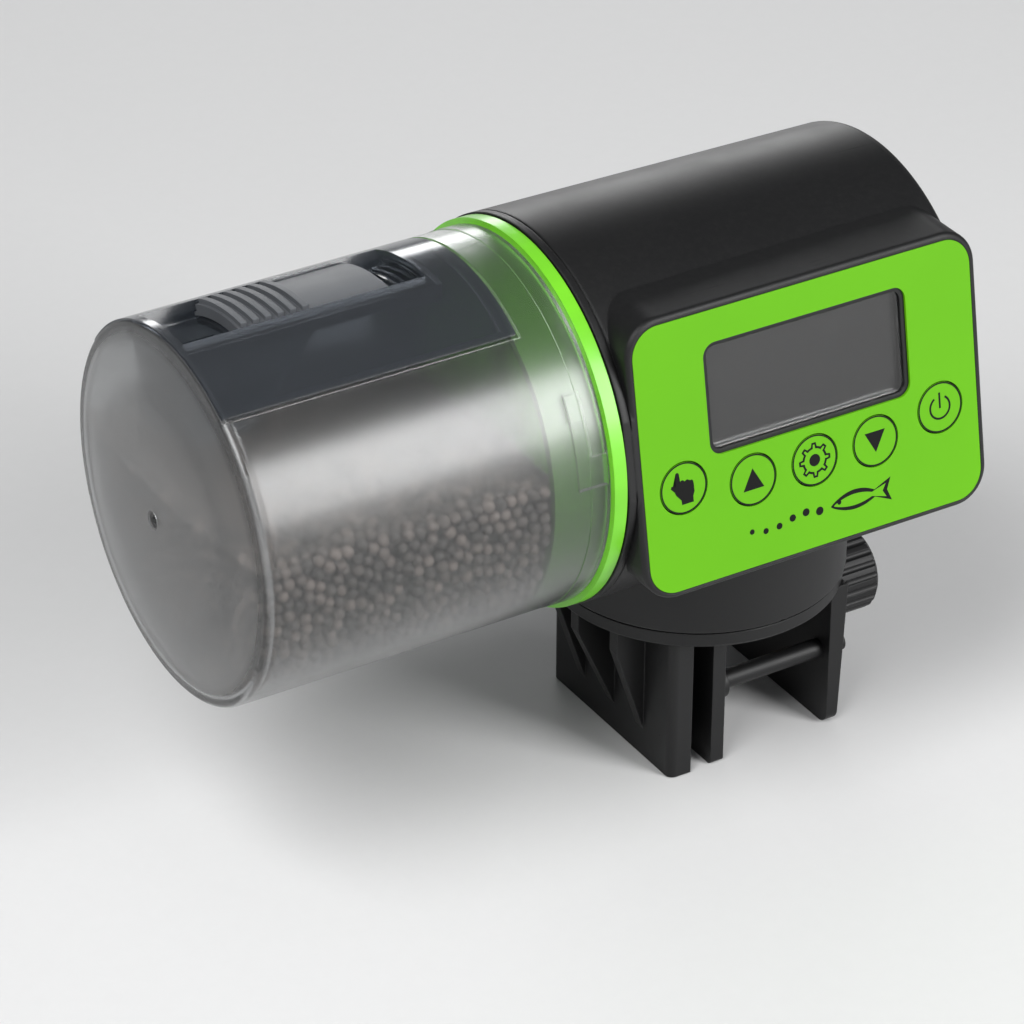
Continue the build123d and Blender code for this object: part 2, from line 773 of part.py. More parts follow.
def cell_places():
    y = housing_r - wall - cell_inset
    dz = cell_r + cell_gap / 2
    return [(y, axis_z - dz), (y, axis_z + dz)]


def tray_limits():
    x0 = gear_plate_x1 + 2.1
    x1 = housing_x1 - wall - tray_end
    return x0, x1


def battery_tray():
    x0, x1 = tray_limits()
    y, _ = cell_places()[0]
    half = 2 * cell_r + cell_gap / 2 + 0.3
    low = y - cell_r - 0.3
    high = y + cell_r
    t = tray_wall
    tray = block(x0, x1, low - t, high, axis_z - half - t, axis_z + half + t)
    tray -= block(x0 + t, x1 - t, low, high + 1, axis_z - half, axis_z + half)
    for yc, zc in cell_places():
        for x in (x0 + 14, x1 - 14):
            cradle = block(x - 0.6, x + 0.6, low - 0.2, yc - 3, zc - cell_r, zc + cell_r)
            tray += cradle - rod(cell_r + snug, x - 2, x + 2, yc, zc)
    return tray & housing_cone(wall + 0.3, housing_x0 + 3, housing_x1 - wall - 0.1)


def cell_span():
    x0, x1 = tray_limits()
    middle = (x0 + x1) / 2
    return middle - cell_len / 2, middle + cell_len / 2


def aa_cells():
    x0, x1 = cell_span()
    cells = []
    for k, (y, z) in enumerate(cell_places()):
        body = rod(cell_r, x0 + 1.2 * (k == 0), x1 - 1.2 * (k == 1), y, z)
        nub = rod(2.6, x0, x0 + 1.2, y, z) if k == 0 else rod(2.6, x1 - 1.2, x1, y, z)
        body = fillet(body.edges().filter_by(GeomType.CIRCLE), 0.5)
        cells.append(body + nub)
    return cells


def battery_contacts():
    """Plates at both ends of the tray, each with a domed touch point."""
    x0, x1 = tray_limits()
    a, b = cell_span()
    plates = []
    for y, z in cell_places():
        left = block(x0 + tray_wall, x0 + tray_wall + contact_t, y - 5, y + 5, z - 5.5, z + 5.5)
        right = block(x1 - tray_wall - contact_t, x1 - tray_wall, y - 5, y + 5, z - 5.5, z + 5.5)
        left += rod(1.8, x0 + tray_wall, a, y, z)
        right += rod(1.8, b, x1 - tray_wall, y, z)
        plates += [left, right]
    return plates


# --- key panel ---
def panel_overlay():
    sheet = slab(panel_w, panel_h, panel_round - snug, 0, panel_h / 2, 0, overlay_t)
    sheet -= slab(lcd_w + 2 * lcd_rim, lcd_h + 2 * lcd_rim, lcd_round + lcd_rim, 0, lcd_v, -1, 1)
    for u, v in buttons.values():
        sheet -= peg(button_r + button_gap, u, v, -1, 1)
    return sheet


def lcd_window():
    lens = slab(lcd_w, lcd_h, lcd_round - snug, 0, lcd_v, overlay_t + lcd_sink, front_back + 0.2)
    flange = slab(lcd_w + 2.4, lcd_h + 2.4, lcd_round, 0, lcd_v, front_back, front_back + 0.5)
    return lens + flange


def lcd_module():
    return slab(lcd_w + 1, lcd_h + 2, 0.8, 0, lcd_v, front_back + 0.6, board_back)


def control_board():
    board = slab(board_w, board_h, 1.5, 0, panel_h / 2 + 0.5, board_back, board_back + board_t)
    for u, v in board_post_places():
        board -= peg(small_screw_r + snug, u, v, 0, board_back + board_t + 1)
    return board


def board_parts():
    """Controller, crystal, capacitor and battery plug on the back of the board."""
    back = board_back + board_t
    return [
        slab(9, 9, 0.3, -8, 26, back, back + 1.2),
        slab(6, 4, 0.3, 6, 30, back, back + 1.5),
        slab(7.5, 6, 0.3, 20, 24, back, back + 2.4),
        peg(2.5, 6, 20, back, back + 2.4),
    ]


def board_screws():
    screws = []
    for u, v in board_post_places():
        spot_on = PANEL * Pos(u, v, -(board_back + board_t))
        plane = Plane(spot_on)
        screws.append(pan_screw(4.6, plane, r=small_screw_r - 0.1, head_t=1.0))
    return screws


def tact_switches():
    switches = []
    top = board_back - switch_t
    for u, v in buttons.values():
        body = slab(switch_size, switch_size, 0.3, u, v, top, board_back)
        switches.append(body + peg(1.7, u, v, switch_front, top))
    return switches


def button_cap(u, v):
    flange_r = button_r + button_gap + button_flange
    return peg(button_r, u, v, 0, key_back) + peg(flange_r, u, v, key_back, key_back + button_flange_t)


# --- clamp ---
def gusset(y):
    """Rib from the disc down to the fixed jaw's outer face."""
    out = -math.sqrt(rib_r ** 2 - y ** 2)
    face_x = jaw_x - jaw_t
    shape = Polyline(
        (face_x + 1, 0.5), (out, 0.5), (out, -rib_bend), (face_x, -rib_foot), (face_x + 1, -rib_foot),
        close=True,
    )
    side = Plane(origin=(0, y, 0), x_dir=(1, 0, 0), z_dir=(0, -1, 0))
    return extrude(side * make_face(shape), rib_t / 2, both=True)


def screw_wall():
    low_x, top_x = wall_x + wall_low_t, wall_x + wall_top_t
    shape = Polyline((wall_x, 0.5), (wall_x, -clamp_drop), (low_x, -clamp_drop), (top_x, 0.5), close=True)
    side = Plane(origin=(0, 0, 0), x_dir=(1, 0, 0), z_dir=(0, -1, 0))
    slope = extrude(side * make_face(shape), clamp_half, both=True)
    return fillet(slope.edges().filter_by(Axis.X).group_by(Axis.Z)[0], 2.5)


def hex_bar(x0, x1, af, y, z):
    side = Plane(origin=(x0, y, z), z_dir=(1, 0, 0))
    return extrude(side * RegularPolygon(af / 2, 6, major_radius=False), x1 - x0)


def clamp_bracket():
    disc = post(disc_r, 0, disc_t)
    disc = fillet(disc.edges().group_by(Axis.Z)[0], 0.6)
    jaw = block(jaw_x - jaw_t, jaw_x, -clamp_half, clamp_half, -clamp_drop, 0.5)
    jaw = fillet(jaw.edges().filter_by(Axis.Z).group_by(Axis.X)[0], 1.6)
    body = disc + jaw + screw_wall()
    for k in range(-1, 2):
        body += gusset(rib_pitch * k)
    body += post(stud_r, 0, seat_z + snug)
    body -= post(small_screw_r + 0.3, 2, seat_z + 1)
    for side in (-1, 1):
        body -= rod(rod_r + run, wall_x - 1, wall_x + 9, side * rod_y, rod_z)
    body -= rod(screw_r + 0.25, wall_x - 1, wall_x + 9, 0, screw_z)
    return body - hex_bar(wall_x - 1, wall_x + nut_t, nut_af + snug, 0, screw_z)


def clamp_nut():
    nut = hex_bar(wall_x, wall_x + nut_t, nut_af, 0, screw_z)
    return nut - rod(screw_r + run, wall_x - 1, wall_x + nut_t + 1, 0, screw_z)


def jaw_plate():
    plate = block(plate_x0, plate_x1, -plate_half, plate_half, -clamp_drop - 0.2, -plate_top)
    plate = fillet(plate.edges().filter_by(Axis.X), 1.0)
    plate += rod(5.5, plate_x1, plate_x1 + 3.0, 0, screw_z)
    plate -= rod(screw_tip_r + run, plate_x0 + 1.4, plate_x1 + 4, 0, screw_z)
    for side in (-1, 1):
        plate += rod(3.2, plate_x1, plate_x1 + 1.2, side * rod_y, rod_z)
        plate -= rod(rod_r, plate_x0 + 1.0, plate_x1 + 4, side * rod_y, rod_z)
    return plate


def guide_rods():
    end = wall_x + wall_top_t + 1.4
    return [rod(rod_r, plate_x0 + 1.0, end, side * rod_y, rod_z) for side in (-1, 1)]


def clamp_screw():
    tip_x = plate_x0 + 1.6
    clip_x = plate_x1 + 3.2
    screw = rod(screw_tip_r, tip_x, clip_x + 1.2, 0, screw_z) - ring(clip_x, 1.6, screw_tip_r)
    return screw + rod(screw_r, clip_x + 1.2, knob_x + 8, 0, screw_z)


def ring(x, r0, r1, t=0.8, y=0.0, z=screw_z):
    return rod(r1, x, x + t, y, z) - rod(r0, x, x + t, y, z)


def screw_clip():
    """Open spring clip in the groove behind the jaw's boss."""
    clip = ring(plate_x1 + 3.2, 1.6, 4.2)
    return clip - block(plate_x1, plate_x1 + 5, -1.2, 1.2, screw_z - 6, screw_z)


def clamp_knob():
    knob = rod(knob_r, knob_x, knob_x + knob_len, 0, screw_z)
    knob = chamfer(knob.edges().group_by(Axis.X)[-1], 0.8)
    for k in range(knob_flutes):
        a = 2 * math.pi * k / knob_flutes
        y = (knob_r + 0.35) * math.cos(a)
        z = screw_z + (knob_r + 0.35) * math.sin(a)
        knob -= rod(0.75, knob_x + 1.2, knob_x + knob_len + 1, y, z)
    knob -= rod(knob_r - 2.2, knob_x + knob_len - 0.6, knob_x + knob_len + 1, 0, screw_z)
    return knob - rod(screw_r, knob_x - 1, knob_x + 8, 0, screw_z)


def swivel_washer():
    z = seat_z + snug
    return post(8.0, z, z + 1.2) - post(small_screw_r + 0.5, z - 1, z + 2)


def swivel_screw():
    z = seat_z + snug + 1.2
    plane = Plane(origin=(0, 0, z), x_dir=(1, 0, 0), z_dir=(0, 0, -1))
    return pan_screw(8.0, plane, r=small_screw_r + 0.3, head_r=3.0, head_t=1.8)


# --- all the pieces ---
def build():
    keep("drum_barrel", drum_barrel())
    keep("drum_lid", drum_lid())
    keep("gate_slider", gate_slider())
    keep("feed_chute", feed_chute())
    keep("drive_hub", drive_hub())
    keep("output_shaft", output_shaft())
    keep("output_gear", gear(wheel_teeth, gear_x[0], gear_x[0] + gear_t, (0, 0), 120, hub_bore_r))
    hub_end = Plane(origin=(hub_x0 - 6, 0, axis_z), x_dir=(0, 1, 0), z_dir=(1, 0, 0))
    keep("hub_screw", pan_screw(6.5, hub_end, head_r=2.8, head_t=1.6))
    y, z = spot(magnet_at, 270)
    keep("home_magnet", rod(magnet_r, hub_x1 - 0.6 - magnet_t, hub_x1 - 0.6, y, z))
    keep("home_sensor", block(end_x, end_x + 1.5, y - 2, y + 2, z - 1.5, z + 1.5))
    bush = rod(bush_r, housing_x0, end_x) + rod(bush_flange, housing_x0 - 0.55, housing_x0)
    keep("shaft_bush", bush - rod(hub_bore_r + run, housing_x0 - 1, end_x + 1))
    for k, name in enumerate(("third_gear", "second_gear", "first_gear")):
        keep(name, compound_gear(k))
    shaft = axle_rod(motor_shaft_r, 3, gear_x[3] - 0.6, gear_plate_x1 + 12)
    keep("motor_shaft", shaft)
    pinion_x0, pinion_x1 = gear_x[3] - 0.2, gear_x[3] + gear_t + 0.2
    keep("motor_pinion", gear(pinion_teeth, pinion_x0, pinion_x1, axle_place(3), 60, motor_shaft_r, phase=1))
    keep("gear_axles", gear_axles())
    keep("gearbox_plate", gearbox_plate())
    keep("gearbox_screws", gearbox_screws())
    keep("motor_can", motor_can())
    keep("motor_cap", motor_cap())
    keep("motor_screws", motor_screws())
    keep("end_cap", end_cap())
    keep("main_housing", main_housing())
    keep("rear_cover", rear_cover())
    keep("cover_screws", cover_screws())
    keep("battery_door", battery_door())
    keep("battery_tray", battery_tray())
    keep("aa_cells", aa_cells())
    keep("battery_contacts", battery_contacts())
    keep("panel_overlay", panel_overlay())
    keep("lcd_window", lcd_window())
    keep("lcd_module", lcd_module())
    keep("control_board", control_board())
    keep("board_parts", board_parts())
    keep("board_screws", board_screws())
    keep("tact_switches", tact_switches())
    for name, (u, v) in buttons.items():
        keep("button_" + name, button_cap(u, v))
    keep("clamp_bracket", clamp_bracket())
    keep("clamp_nut", clamp_nut())
    keep("jaw_plate", jaw_plate())
    keep("guide_rods", guide_rods())
    keep("clamp_screw", clamp_screw())
    keep("screw_clip", screw_clip())
    keep("clamp_knob", clamp_knob())
    keep("swivel_washer", swivel_washer())
    keep("swivel_screw", swivel_screw())


build()
os.makedirs("parts", exist_ok=True)
for name, shape in parts.items():
    node = Compound(list(shape)) if isinstance(shape, list) else shape
    export_step(node, "parts/" + name + ".step")
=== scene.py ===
"""Looks of an automatic fish feeder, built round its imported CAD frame. Metres, +Z up."""
import math

import bmesh
import bpy
import numpy as np
from bpy.props import FloatProperty, FloatVectorProperty, IntProperty, PointerProperty
from mathutils import Matrix, Vector


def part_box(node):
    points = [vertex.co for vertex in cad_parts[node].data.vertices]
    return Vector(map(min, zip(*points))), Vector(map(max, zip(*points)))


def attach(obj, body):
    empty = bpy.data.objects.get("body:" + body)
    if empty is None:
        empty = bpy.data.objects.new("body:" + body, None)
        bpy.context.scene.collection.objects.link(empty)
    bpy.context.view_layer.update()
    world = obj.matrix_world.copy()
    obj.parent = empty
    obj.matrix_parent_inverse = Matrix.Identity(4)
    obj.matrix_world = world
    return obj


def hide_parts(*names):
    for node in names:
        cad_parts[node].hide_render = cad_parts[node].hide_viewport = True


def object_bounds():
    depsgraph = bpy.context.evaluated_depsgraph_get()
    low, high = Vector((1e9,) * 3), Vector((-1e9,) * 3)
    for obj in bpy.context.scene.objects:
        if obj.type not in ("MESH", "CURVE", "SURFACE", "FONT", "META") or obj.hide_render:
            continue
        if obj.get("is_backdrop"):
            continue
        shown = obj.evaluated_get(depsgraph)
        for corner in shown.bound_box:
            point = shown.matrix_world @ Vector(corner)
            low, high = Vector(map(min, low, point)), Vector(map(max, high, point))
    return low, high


bl_info = {
    "name": "Fish Feeder Finishes",
    "version": (1, 0, 0),
    "blender": (4, 5, 0),
    "location": "3D View > Sidebar > Feeder",
    "description": "Finishes, printed keys, feed, screw thread and studio for a fish feeder's CAD frame",
    "category": "Object",
}

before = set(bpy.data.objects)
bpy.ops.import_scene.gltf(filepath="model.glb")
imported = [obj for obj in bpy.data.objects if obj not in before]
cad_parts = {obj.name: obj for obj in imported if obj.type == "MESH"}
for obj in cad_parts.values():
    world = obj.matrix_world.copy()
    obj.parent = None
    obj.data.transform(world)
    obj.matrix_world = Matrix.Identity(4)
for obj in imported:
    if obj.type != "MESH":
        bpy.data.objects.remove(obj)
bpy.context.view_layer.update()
MM = 0.001
BORE_INSET = 1.85 * MM      # barrel's widest rim to its bore
DOME_RISE = 3.3 * MM        # rise of the barrel's domed end
DOME_WALL = 1.7 * MM
DOME_EDGE = 1.3 * MM        # rounding of the domed end's rim
SLEEVE_INSET = 5.4 * MM     # hub's rim to its sleeve's bore
FEED_GAP = 0.06 * MM        # between the feed and the drum
FEED_IN_SLEEVE = 2.0 * MM   # how far the feed reaches into the hub's sleeve
FEED_SKIN = 2.4             # depth of the pellets over the feed's core, in pellets
FACE_DEPTH = 0.02 * MM      # what counts as a node's front face
THREAD_CREST = 0.14         # half the crest's width, in pitches
THREAD_FLANK = 0.22         # width of one flank, in pitches
SCREW_TIP = 2.2 * MM        # radius of the clamp screw's plain tip
SCREW_NECK = 1.6 * MM       # radius of the neck that the clip sits in


# --- sizes and colours that a user would change ---
def size(name, text, value, **more):
    return FloatProperty(name=name, description=text, default=value, precision=5, unit="LENGTH", **more)


def colour(name, text, value):
    return FloatVectorProperty(
        name=name, description=text, default=value, size=3, min=0.0, max=1.0, subtype="COLOR"
    )


def inner_radius():
    low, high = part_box("drum_barrel")
    return (high.y - low.y) / 2 - BORE_INSET


class FeederSizes(bpy.types.PropertyGroup):
    pellet: size("Pellet", "Diameter of one feed pellet", 2.4 * MM, min=1.0 * MM, max=4.0 * MM)
    pellet_seed: IntProperty(name="Seed", description="Seed of the feed's packing", default=11)
    feed_level: size("Feed level", "Height of the feed above the drum axis", 5.5 * MM)
    drum_bore: size("Drum bore", "Inner radius of the drum", inner_radius())
    ink: size("Ink", "How far the print stands off the keys", 0.02 * MM)
    thread_pitch: size("Thread pitch", "Pitch of the clamp screw", 2.0 * MM)
    thread_depth: size("Thread depth", "Depth of the clamp screw's thread", 0.75 * MM)
    grain: size("Grain", "Width of the moulded grain", 0.25 * MM)
    grain_depth: size("Grain depth", "Depth of the moulded grain", 0.0022 * MM)
    edge: size("Edge", "Softening of moulded edges", 0.35 * MM)


class FeederColours(bpy.types.PropertyGroup):
    black: colour("Black", "Moulded housing and clamp", (0.0062, 0.0062, 0.0066))
    green: colour("Green", "Printed panel and keys", (0.110, 0.390, 0.0015))
    hub_green: colour("Hub green", "Moulded hub", (0.17, 0.60, 0.02))
    frost: colour("Frost", "Frosted drum", (0.66, 0.67, 0.675))
    smoke: colour("Smoke", "Smoked lid", (0.13, 0.145, 0.165))
    gate: colour("Gate", "Feed gate", (0.105, 0.112, 0.122))
    lens: colour("Lens", "Display lens", (0.45, 0.45, 0.45))
    display: colour("Display", "Blank display", (0.050, 0.051, 0.050))
    ink: colour("Ink", "Printed marks", (0.003, 0.0032, 0.003))
    feed: colour("Feed", "Feed pellets", (0.062, 0.049, 0.042))
    floor: colour("Floor", "Studio floor", (0.72, 0.72, 0.72))


class FeederStage(bpy.types.PropertyGroup):
    azimuth: FloatProperty(
        name="Azimuth", description="Camera's direction round the object",
        default=math.radians(-31.46), subtype="ANGLE",
    )
    elevation: FloatProperty(
        name="Elevation", description="Camera's height angle", default=math.radians(31.35), subtype="ANGLE",
    )
    roll: FloatProperty(name="Roll", description="Camera's roll", default=math.radians(0.32), subtype="ANGLE")
    distance: size("Distance", "Camera to aim point", 0.848)
    aim: FloatVectorProperty(
        name="Aim", description="Point the camera looks at",
        default=(-0.0400, 0.0, 0.0245), size=3, subtype="TRANSLATION",
    )
    lens: FloatProperty(name="Lens", description="Focal length in millimetres", default=164.0)


# --- node helpers ---
def add(tree, kind, inputs=None, **settings):
    """A shader node with its settings, plain values and links."""
    made = tree.nodes.new("ShaderNode" + kind)
    for key, value in settings.items():
        setattr(made, key, value)
    for key, value in (inputs or {}).items():
        if isinstance(value, bpy.types.NodeSocket):
            tree.links.new(value, made.inputs[key])
        else:
            made.inputs[key].default_value = value
    return made


def sums(tree, operation, a, b=0.0, c=0.0):
    return add(tree, "Math", {0: a, 1: b, 2: c}, operation=operation).outputs[0]


def tone(tree, factor, a, b):
    """Colour between a and b."""
    return add(tree, "Mix", {0: factor, 6: a, 7: b}, data_type="RGBA").outputs[2]


def spread(tree, value, low, high, to_low=0.0, to_high=1.0):
    found = add(tree, "MapRange", {0: value, 1: low, 2: high, 3: to_low, 4: to_high})
    return found.outputs[0]


def noise(tree, where, scale, detail=3.0, rough=0.55):
    inputs = {"Vector": where, "Scale": scale, "Detail": detail, "Roughness": rough}
    return add(tree, "TexNoise", inputs).outputs[0]


def group(name, inputs, outputs, build):
    """A shader node group, built once."""
    tree = bpy.data.node_groups.new(name, "ShaderNodeTree")
    for label, value in inputs:
        tree.interface.new_socket(label, in_out="INPUT", socket_type="NodeSocketFloat").default_value = value
    for label, kind in outputs:
        tree.interface.new_socket(label, in_out="OUTPUT", socket_type="NodeSocket" + kind)
    given = tree.nodes.new("NodeGroupInput").outputs
    result = tree.nodes.new("NodeGroupOutput").inputs
    where = add(tree, "TexCoord").outputs["Object"]
    for label, socket in build(tree, given, where).items():
        tree.links.new(socket, result[label])
    return tree


def grain_nodes(tree, given, where):
    """Fine spark-eroded texture of a mould."""
    scale = sums(tree, "DIVIDE", 1.0, given["Width"])
    coarse = noise(tree, where, scale, 2.0, 0.5)
    cells = add(tree, "TexVoronoi", {"Vector": where, "Scale": sums(tree, "MULTIPLY", scale, 0.7)})
    mixed = sums(tree, "MULTIPLY_ADD", coarse, 0.7, sums(tree, "MULTIPLY", cells.outputs["Distance"], 0.3))
    return {"Height": sums(tree, "MULTIPLY", mixed, given["Depth"]), "Speckle": coarse}


def marks_nodes(tree, given, where):
    """Cloudy handling marks and fine scratches."""
    cloud = spread(tree, noise(tree, where, 38.0, 4.0, 0.6), 0.42, 0.72)
    stretch = {"Vector": where, "Rotation": (0.3, 0.5, 0.7), "Scale": (60.0, 1600.0, 1600.0)}
    turned = add(tree, "Mapping", stretch)
    thin = noise(tree, turned.outputs[0], 1.0, 1.0, 0.4)
    places = spread(tree, noise(tree, where, 90.0), 0.5, 0.6)
    lines = sums(tree, "MULTIPLY", spread(tree, thin, 0.72, 0.78), places)
    cloud = sums(tree, "MULTIPLY", cloud, given["Amount"])
    return {"Cloud": cloud, "Scratches": sums(tree, "MULTIPLY", lines, given["Amount"])}


def edge_nodes(tree, given, where):
    """Softened edges and where they have been rubbed."""
    soft = add(tree, "Bevel", {"Radius": given["Radius"]}, samples=4).outputs[0]
    true = add(tree, "NewGeometry").outputs["Normal"]
    meet = add(tree, "VectorMath", {0: soft, 1: true}, operation="DOT_PRODUCT").outputs["Value"]
    rub = spread(tree, sums(tree, "SUBTRACT", 1.0, meet), 0.02, 0.25)
    patchy = spread(tree, noise(tree, where, 160.0), 0.35, 0.65)
    return {"Normal": soft, "Rub": sums(tree, "MULTIPLY", rub, patchy)}


def dust_nodes(tree, given, where):
    """Fine dust on faces that look up."""
    up = add(tree, "SeparateXYZ", {0: add(tree, "NewGeometry").outputs["Normal"]}).outputs[2]
    fine = spread(tree, noise(tree, where, 900.0, 4.0, 0.7), 0.45, 0.75)
    lying = sums(tree, "MULTIPLY", spread(tree, up, 0.2, 1.0), fine)
    return {"Dust": sums(tree, "MULTIPLY", lying, given["Amount"])}


def shared(name):
    """The node groups that several finishes use."""
    found = bpy.data.node_groups.get(name)
    if found:
        return found
    rows = {
        "Moulded grain": (
            [("Width", 0.35 * MM), ("Depth", 0.006 * MM)],
            [("Height", "Float"), ("Speckle", "Float")],
            grain_nodes,
        ),
        "Handling marks": ([("Amount", 1.0)], [("Cloud", "Float"), ("Scratches", "Float")], marks_nodes),
        "Soft edges": ([("Radius", 0.3 * MM)], [("Normal", "Vector"), ("Rub", "Float")], edge_nodes),
        "Dust": ([("Amount", 1.0)], [("Dust", "Float")], dust_nodes),
    }
    return group(name, *rows[name])


def effect(tree, name, **values):
    """A shared node group placed in a finish, with its own values."""
    made = tree.nodes.new("ShaderNodeGroup")
    made.node_tree = shared(name)
    for key, value in values.items():
        made.inputs[key].default_value = value
    return made.outputs


def rgba(values, factor=1.0):
    """Opaque colour, lighter or darker by a factor."""
    return [min(1.0, v * factor) for v in values] + [1.0]


class Finish:
    """A material being built: its tree, its Principled shader and its output."""

    def __init__(self, name):
        self.material = bpy.data.materials.new(name)
        self.material.use_nodes = True
        self.tree = self.material.node_tree
        self.shader = self.tree.nodes["Principled BSDF"]
        self.out = self.tree.nodes["Material Output"]
        self.where = add(self.tree, "TexCoord").outputs["Object"]

    def put(self, **values):
        """Values or links for the shader's sockets, with _ for a space in the name."""
        for key, value in values.items():
            socket = self.shader.inputs[key.replace("_", " ")]
            if isinstance(value, bpy.types.NodeSocket):
                self.tree.links.new(value, socket)
            else:
                socket.default_value = value
        return self

    def bump(self, height, normal=None):
        inputs = {"Height": height, "Distance": 1.0, "Strength": 1.0}
        if normal is not None:
            inputs["Normal"] = normal
        return self.put(Normal=add(self.tree, "Bump", inputs).outputs[0])

    def let_lamps_through(self, tint):
        """Light from lamps passes the surface, so that what lies behind it is lit."""
        path = add(self.tree, "LightPath").outputs["Is Shadow Ray"]
        clear = add(self.tree, "BsdfTransparent", {"Color": rgba(tint)}).outputs[0]
        mixed = add(self.tree, "MixShader", {0: path, 1: self.shader.outputs[0], 2: clear}).outputs[0]
        self.tree.links.new(mixed, self.out.inputs["Surface"])
        return self


# --- finishes ---
def moulded(name, base, rough, width, depth, edge, amount=1.0, rubbed=1.6):
    """Textured plastic with softened, slightly rubbed edges, handling marks and dust."""
    f = Finish(name)
    t = f.tree
    grain = effect(t, "Moulded grain", Width=width, Depth=depth)
    marks = effect(t, "Handling marks", Amount=amount)
    edges = effect(t, "Soft edges", Radius=edge)
    dust = effect(t, "Dust", Amount=0.010 * amount)
    shade = tone(t, spread(t, grain["Speckle"], 0.3, 0.7), rgba(base, 0.86), rgba(base, 1.14))
    shade = tone(t, sums(t, "MULTIPLY", edges["Rub"], 0.35), shade, rgba([v + 0.03 for v in base], rubbed))
    shade = tone(t, dust["Dust"], shade, (0.36, 0.35, 0.33, 1.0))
    f.put(Base_Color=shade, Specular_IOR_Level=0.36)
    dull = sums(t, "MULTIPLY_ADD", marks["Cloud"], 0.07, rough)
    dull = sums(t, "MULTIPLY_ADD", marks["Scratches"], 0.08, dull)
    f.put(Roughness=sums(t, "MULTIPLY_ADD", edges["Rub"], -0.10, dull))
    return f.bump(grain["Height"], edges["Normal"]).material


def printed(name, base, rough, width):
    """Printed film over a fine satin texture."""
    f = Finish(name)
    t = f.tree
    grain = effect(t, "Moulded grain", Width=width, Depth=0.0000016)
    marks = effect(t, "Handling marks", Amount=0.6)
    shade = tone(t, spread(t, noise(t, f.where, 22.0), 0.35, 0.65), rgba(base, 0.97), rgba(base, 1.03))
    shade = tone(t, sums(t, "MULTIPLY", marks["Scratches"], 0.12), shade, rgba(base, 1.4))
    f.put(Base_Color=shade, Specular_IOR_Level=0.2)
    f.put(Roughness=sums(t, "MULTIPLY_ADD", marks["Cloud"], 0.08, rough))
    return f.bump(grain["Height"]).material


def glossy(name, base, rough, depth=0.000002, edge=0.0002, coat=0.0, painted_shade_x=None):
    """Smooth moulding with faint flow lines and marks, and painted shade: the colour darkened to a fifth on the
    drum's side of the given x.
    """
    f = Finish(name)
    t = f.tree
    marks = effect(t, "Handling marks", Amount=0.8)
    edges = effect(t, "Soft edges", Radius=edge)
    flow = add(t, "Mapping", {"Vector": f.where, "Scale": (35.0, 160.0, 160.0)}).outputs[0]
    waves = noise(t, flow, 1.0, 3.0, 0.5)
    shade = tone(t, spread(t, waves, 0.3, 0.7), rgba(base, 0.93), rgba(base, 1.07))
    shade = tone(t, sums(t, "MULTIPLY", edges["Rub"], 0.25), shade, rgba(base, 1.5))
    # painted shade: the hub's sleeve inside the drum is darkened to a fifth of its green, standing in for the
    # shade it lies in behind the frosted wall
    if painted_shade_x is not None:
        x = add(t, "SeparateXYZ", {0: f.where}).outputs[0]
        shade = tone(t, spread(t, x, painted_shade_x, painted_shade_x + 0.3 * MM), rgba(base, 0.20), shade)
    f.put(Base_Color=shade, Coat_Weight=coat, Coat_Roughness=0.15)
    dull = sums(t, "MULTIPLY_ADD", marks["Cloud"], 0.10, rough)
    f.put(Roughness=sums(t, "MULTIPLY_ADD", marks["Scratches"], 0.15, dull))
    return f.bump(sums(t, "MULTIPLY", waves, depth), edges["Normal"]).material


def clear(name, tint, rough, width, depth, lamps, scatter=0.0):
    """See-through plastic: smoked, or a lens."""
    f = Finish(name)
    t = f.tree
    grain = effect(t, "Moulded grain", Width=width, Depth=depth)
    marks = effect(t, "Handling marks", Amount=0.7)
    cloudy = spread(t, noise(t, f.where, 60.0), 0.3, 0.7)
    f.put(Base_Color=tone(t, cloudy, rgba(tint, 0.97), rgba(tint, 1.0)))
    f.put(Transmission_Weight=1.0 - scatter, IOR=1.47)
    dull = sums(t, "MULTIPLY_ADD", marks["Cloud"], 0.05, rough)
    f.put(Roughness=sums(t, "MULTIPLY_ADD", marks["Scratches"], 0.05, dull))
    f.bump(grain["Height"])
    return f.let_lamps_through(lamps).material


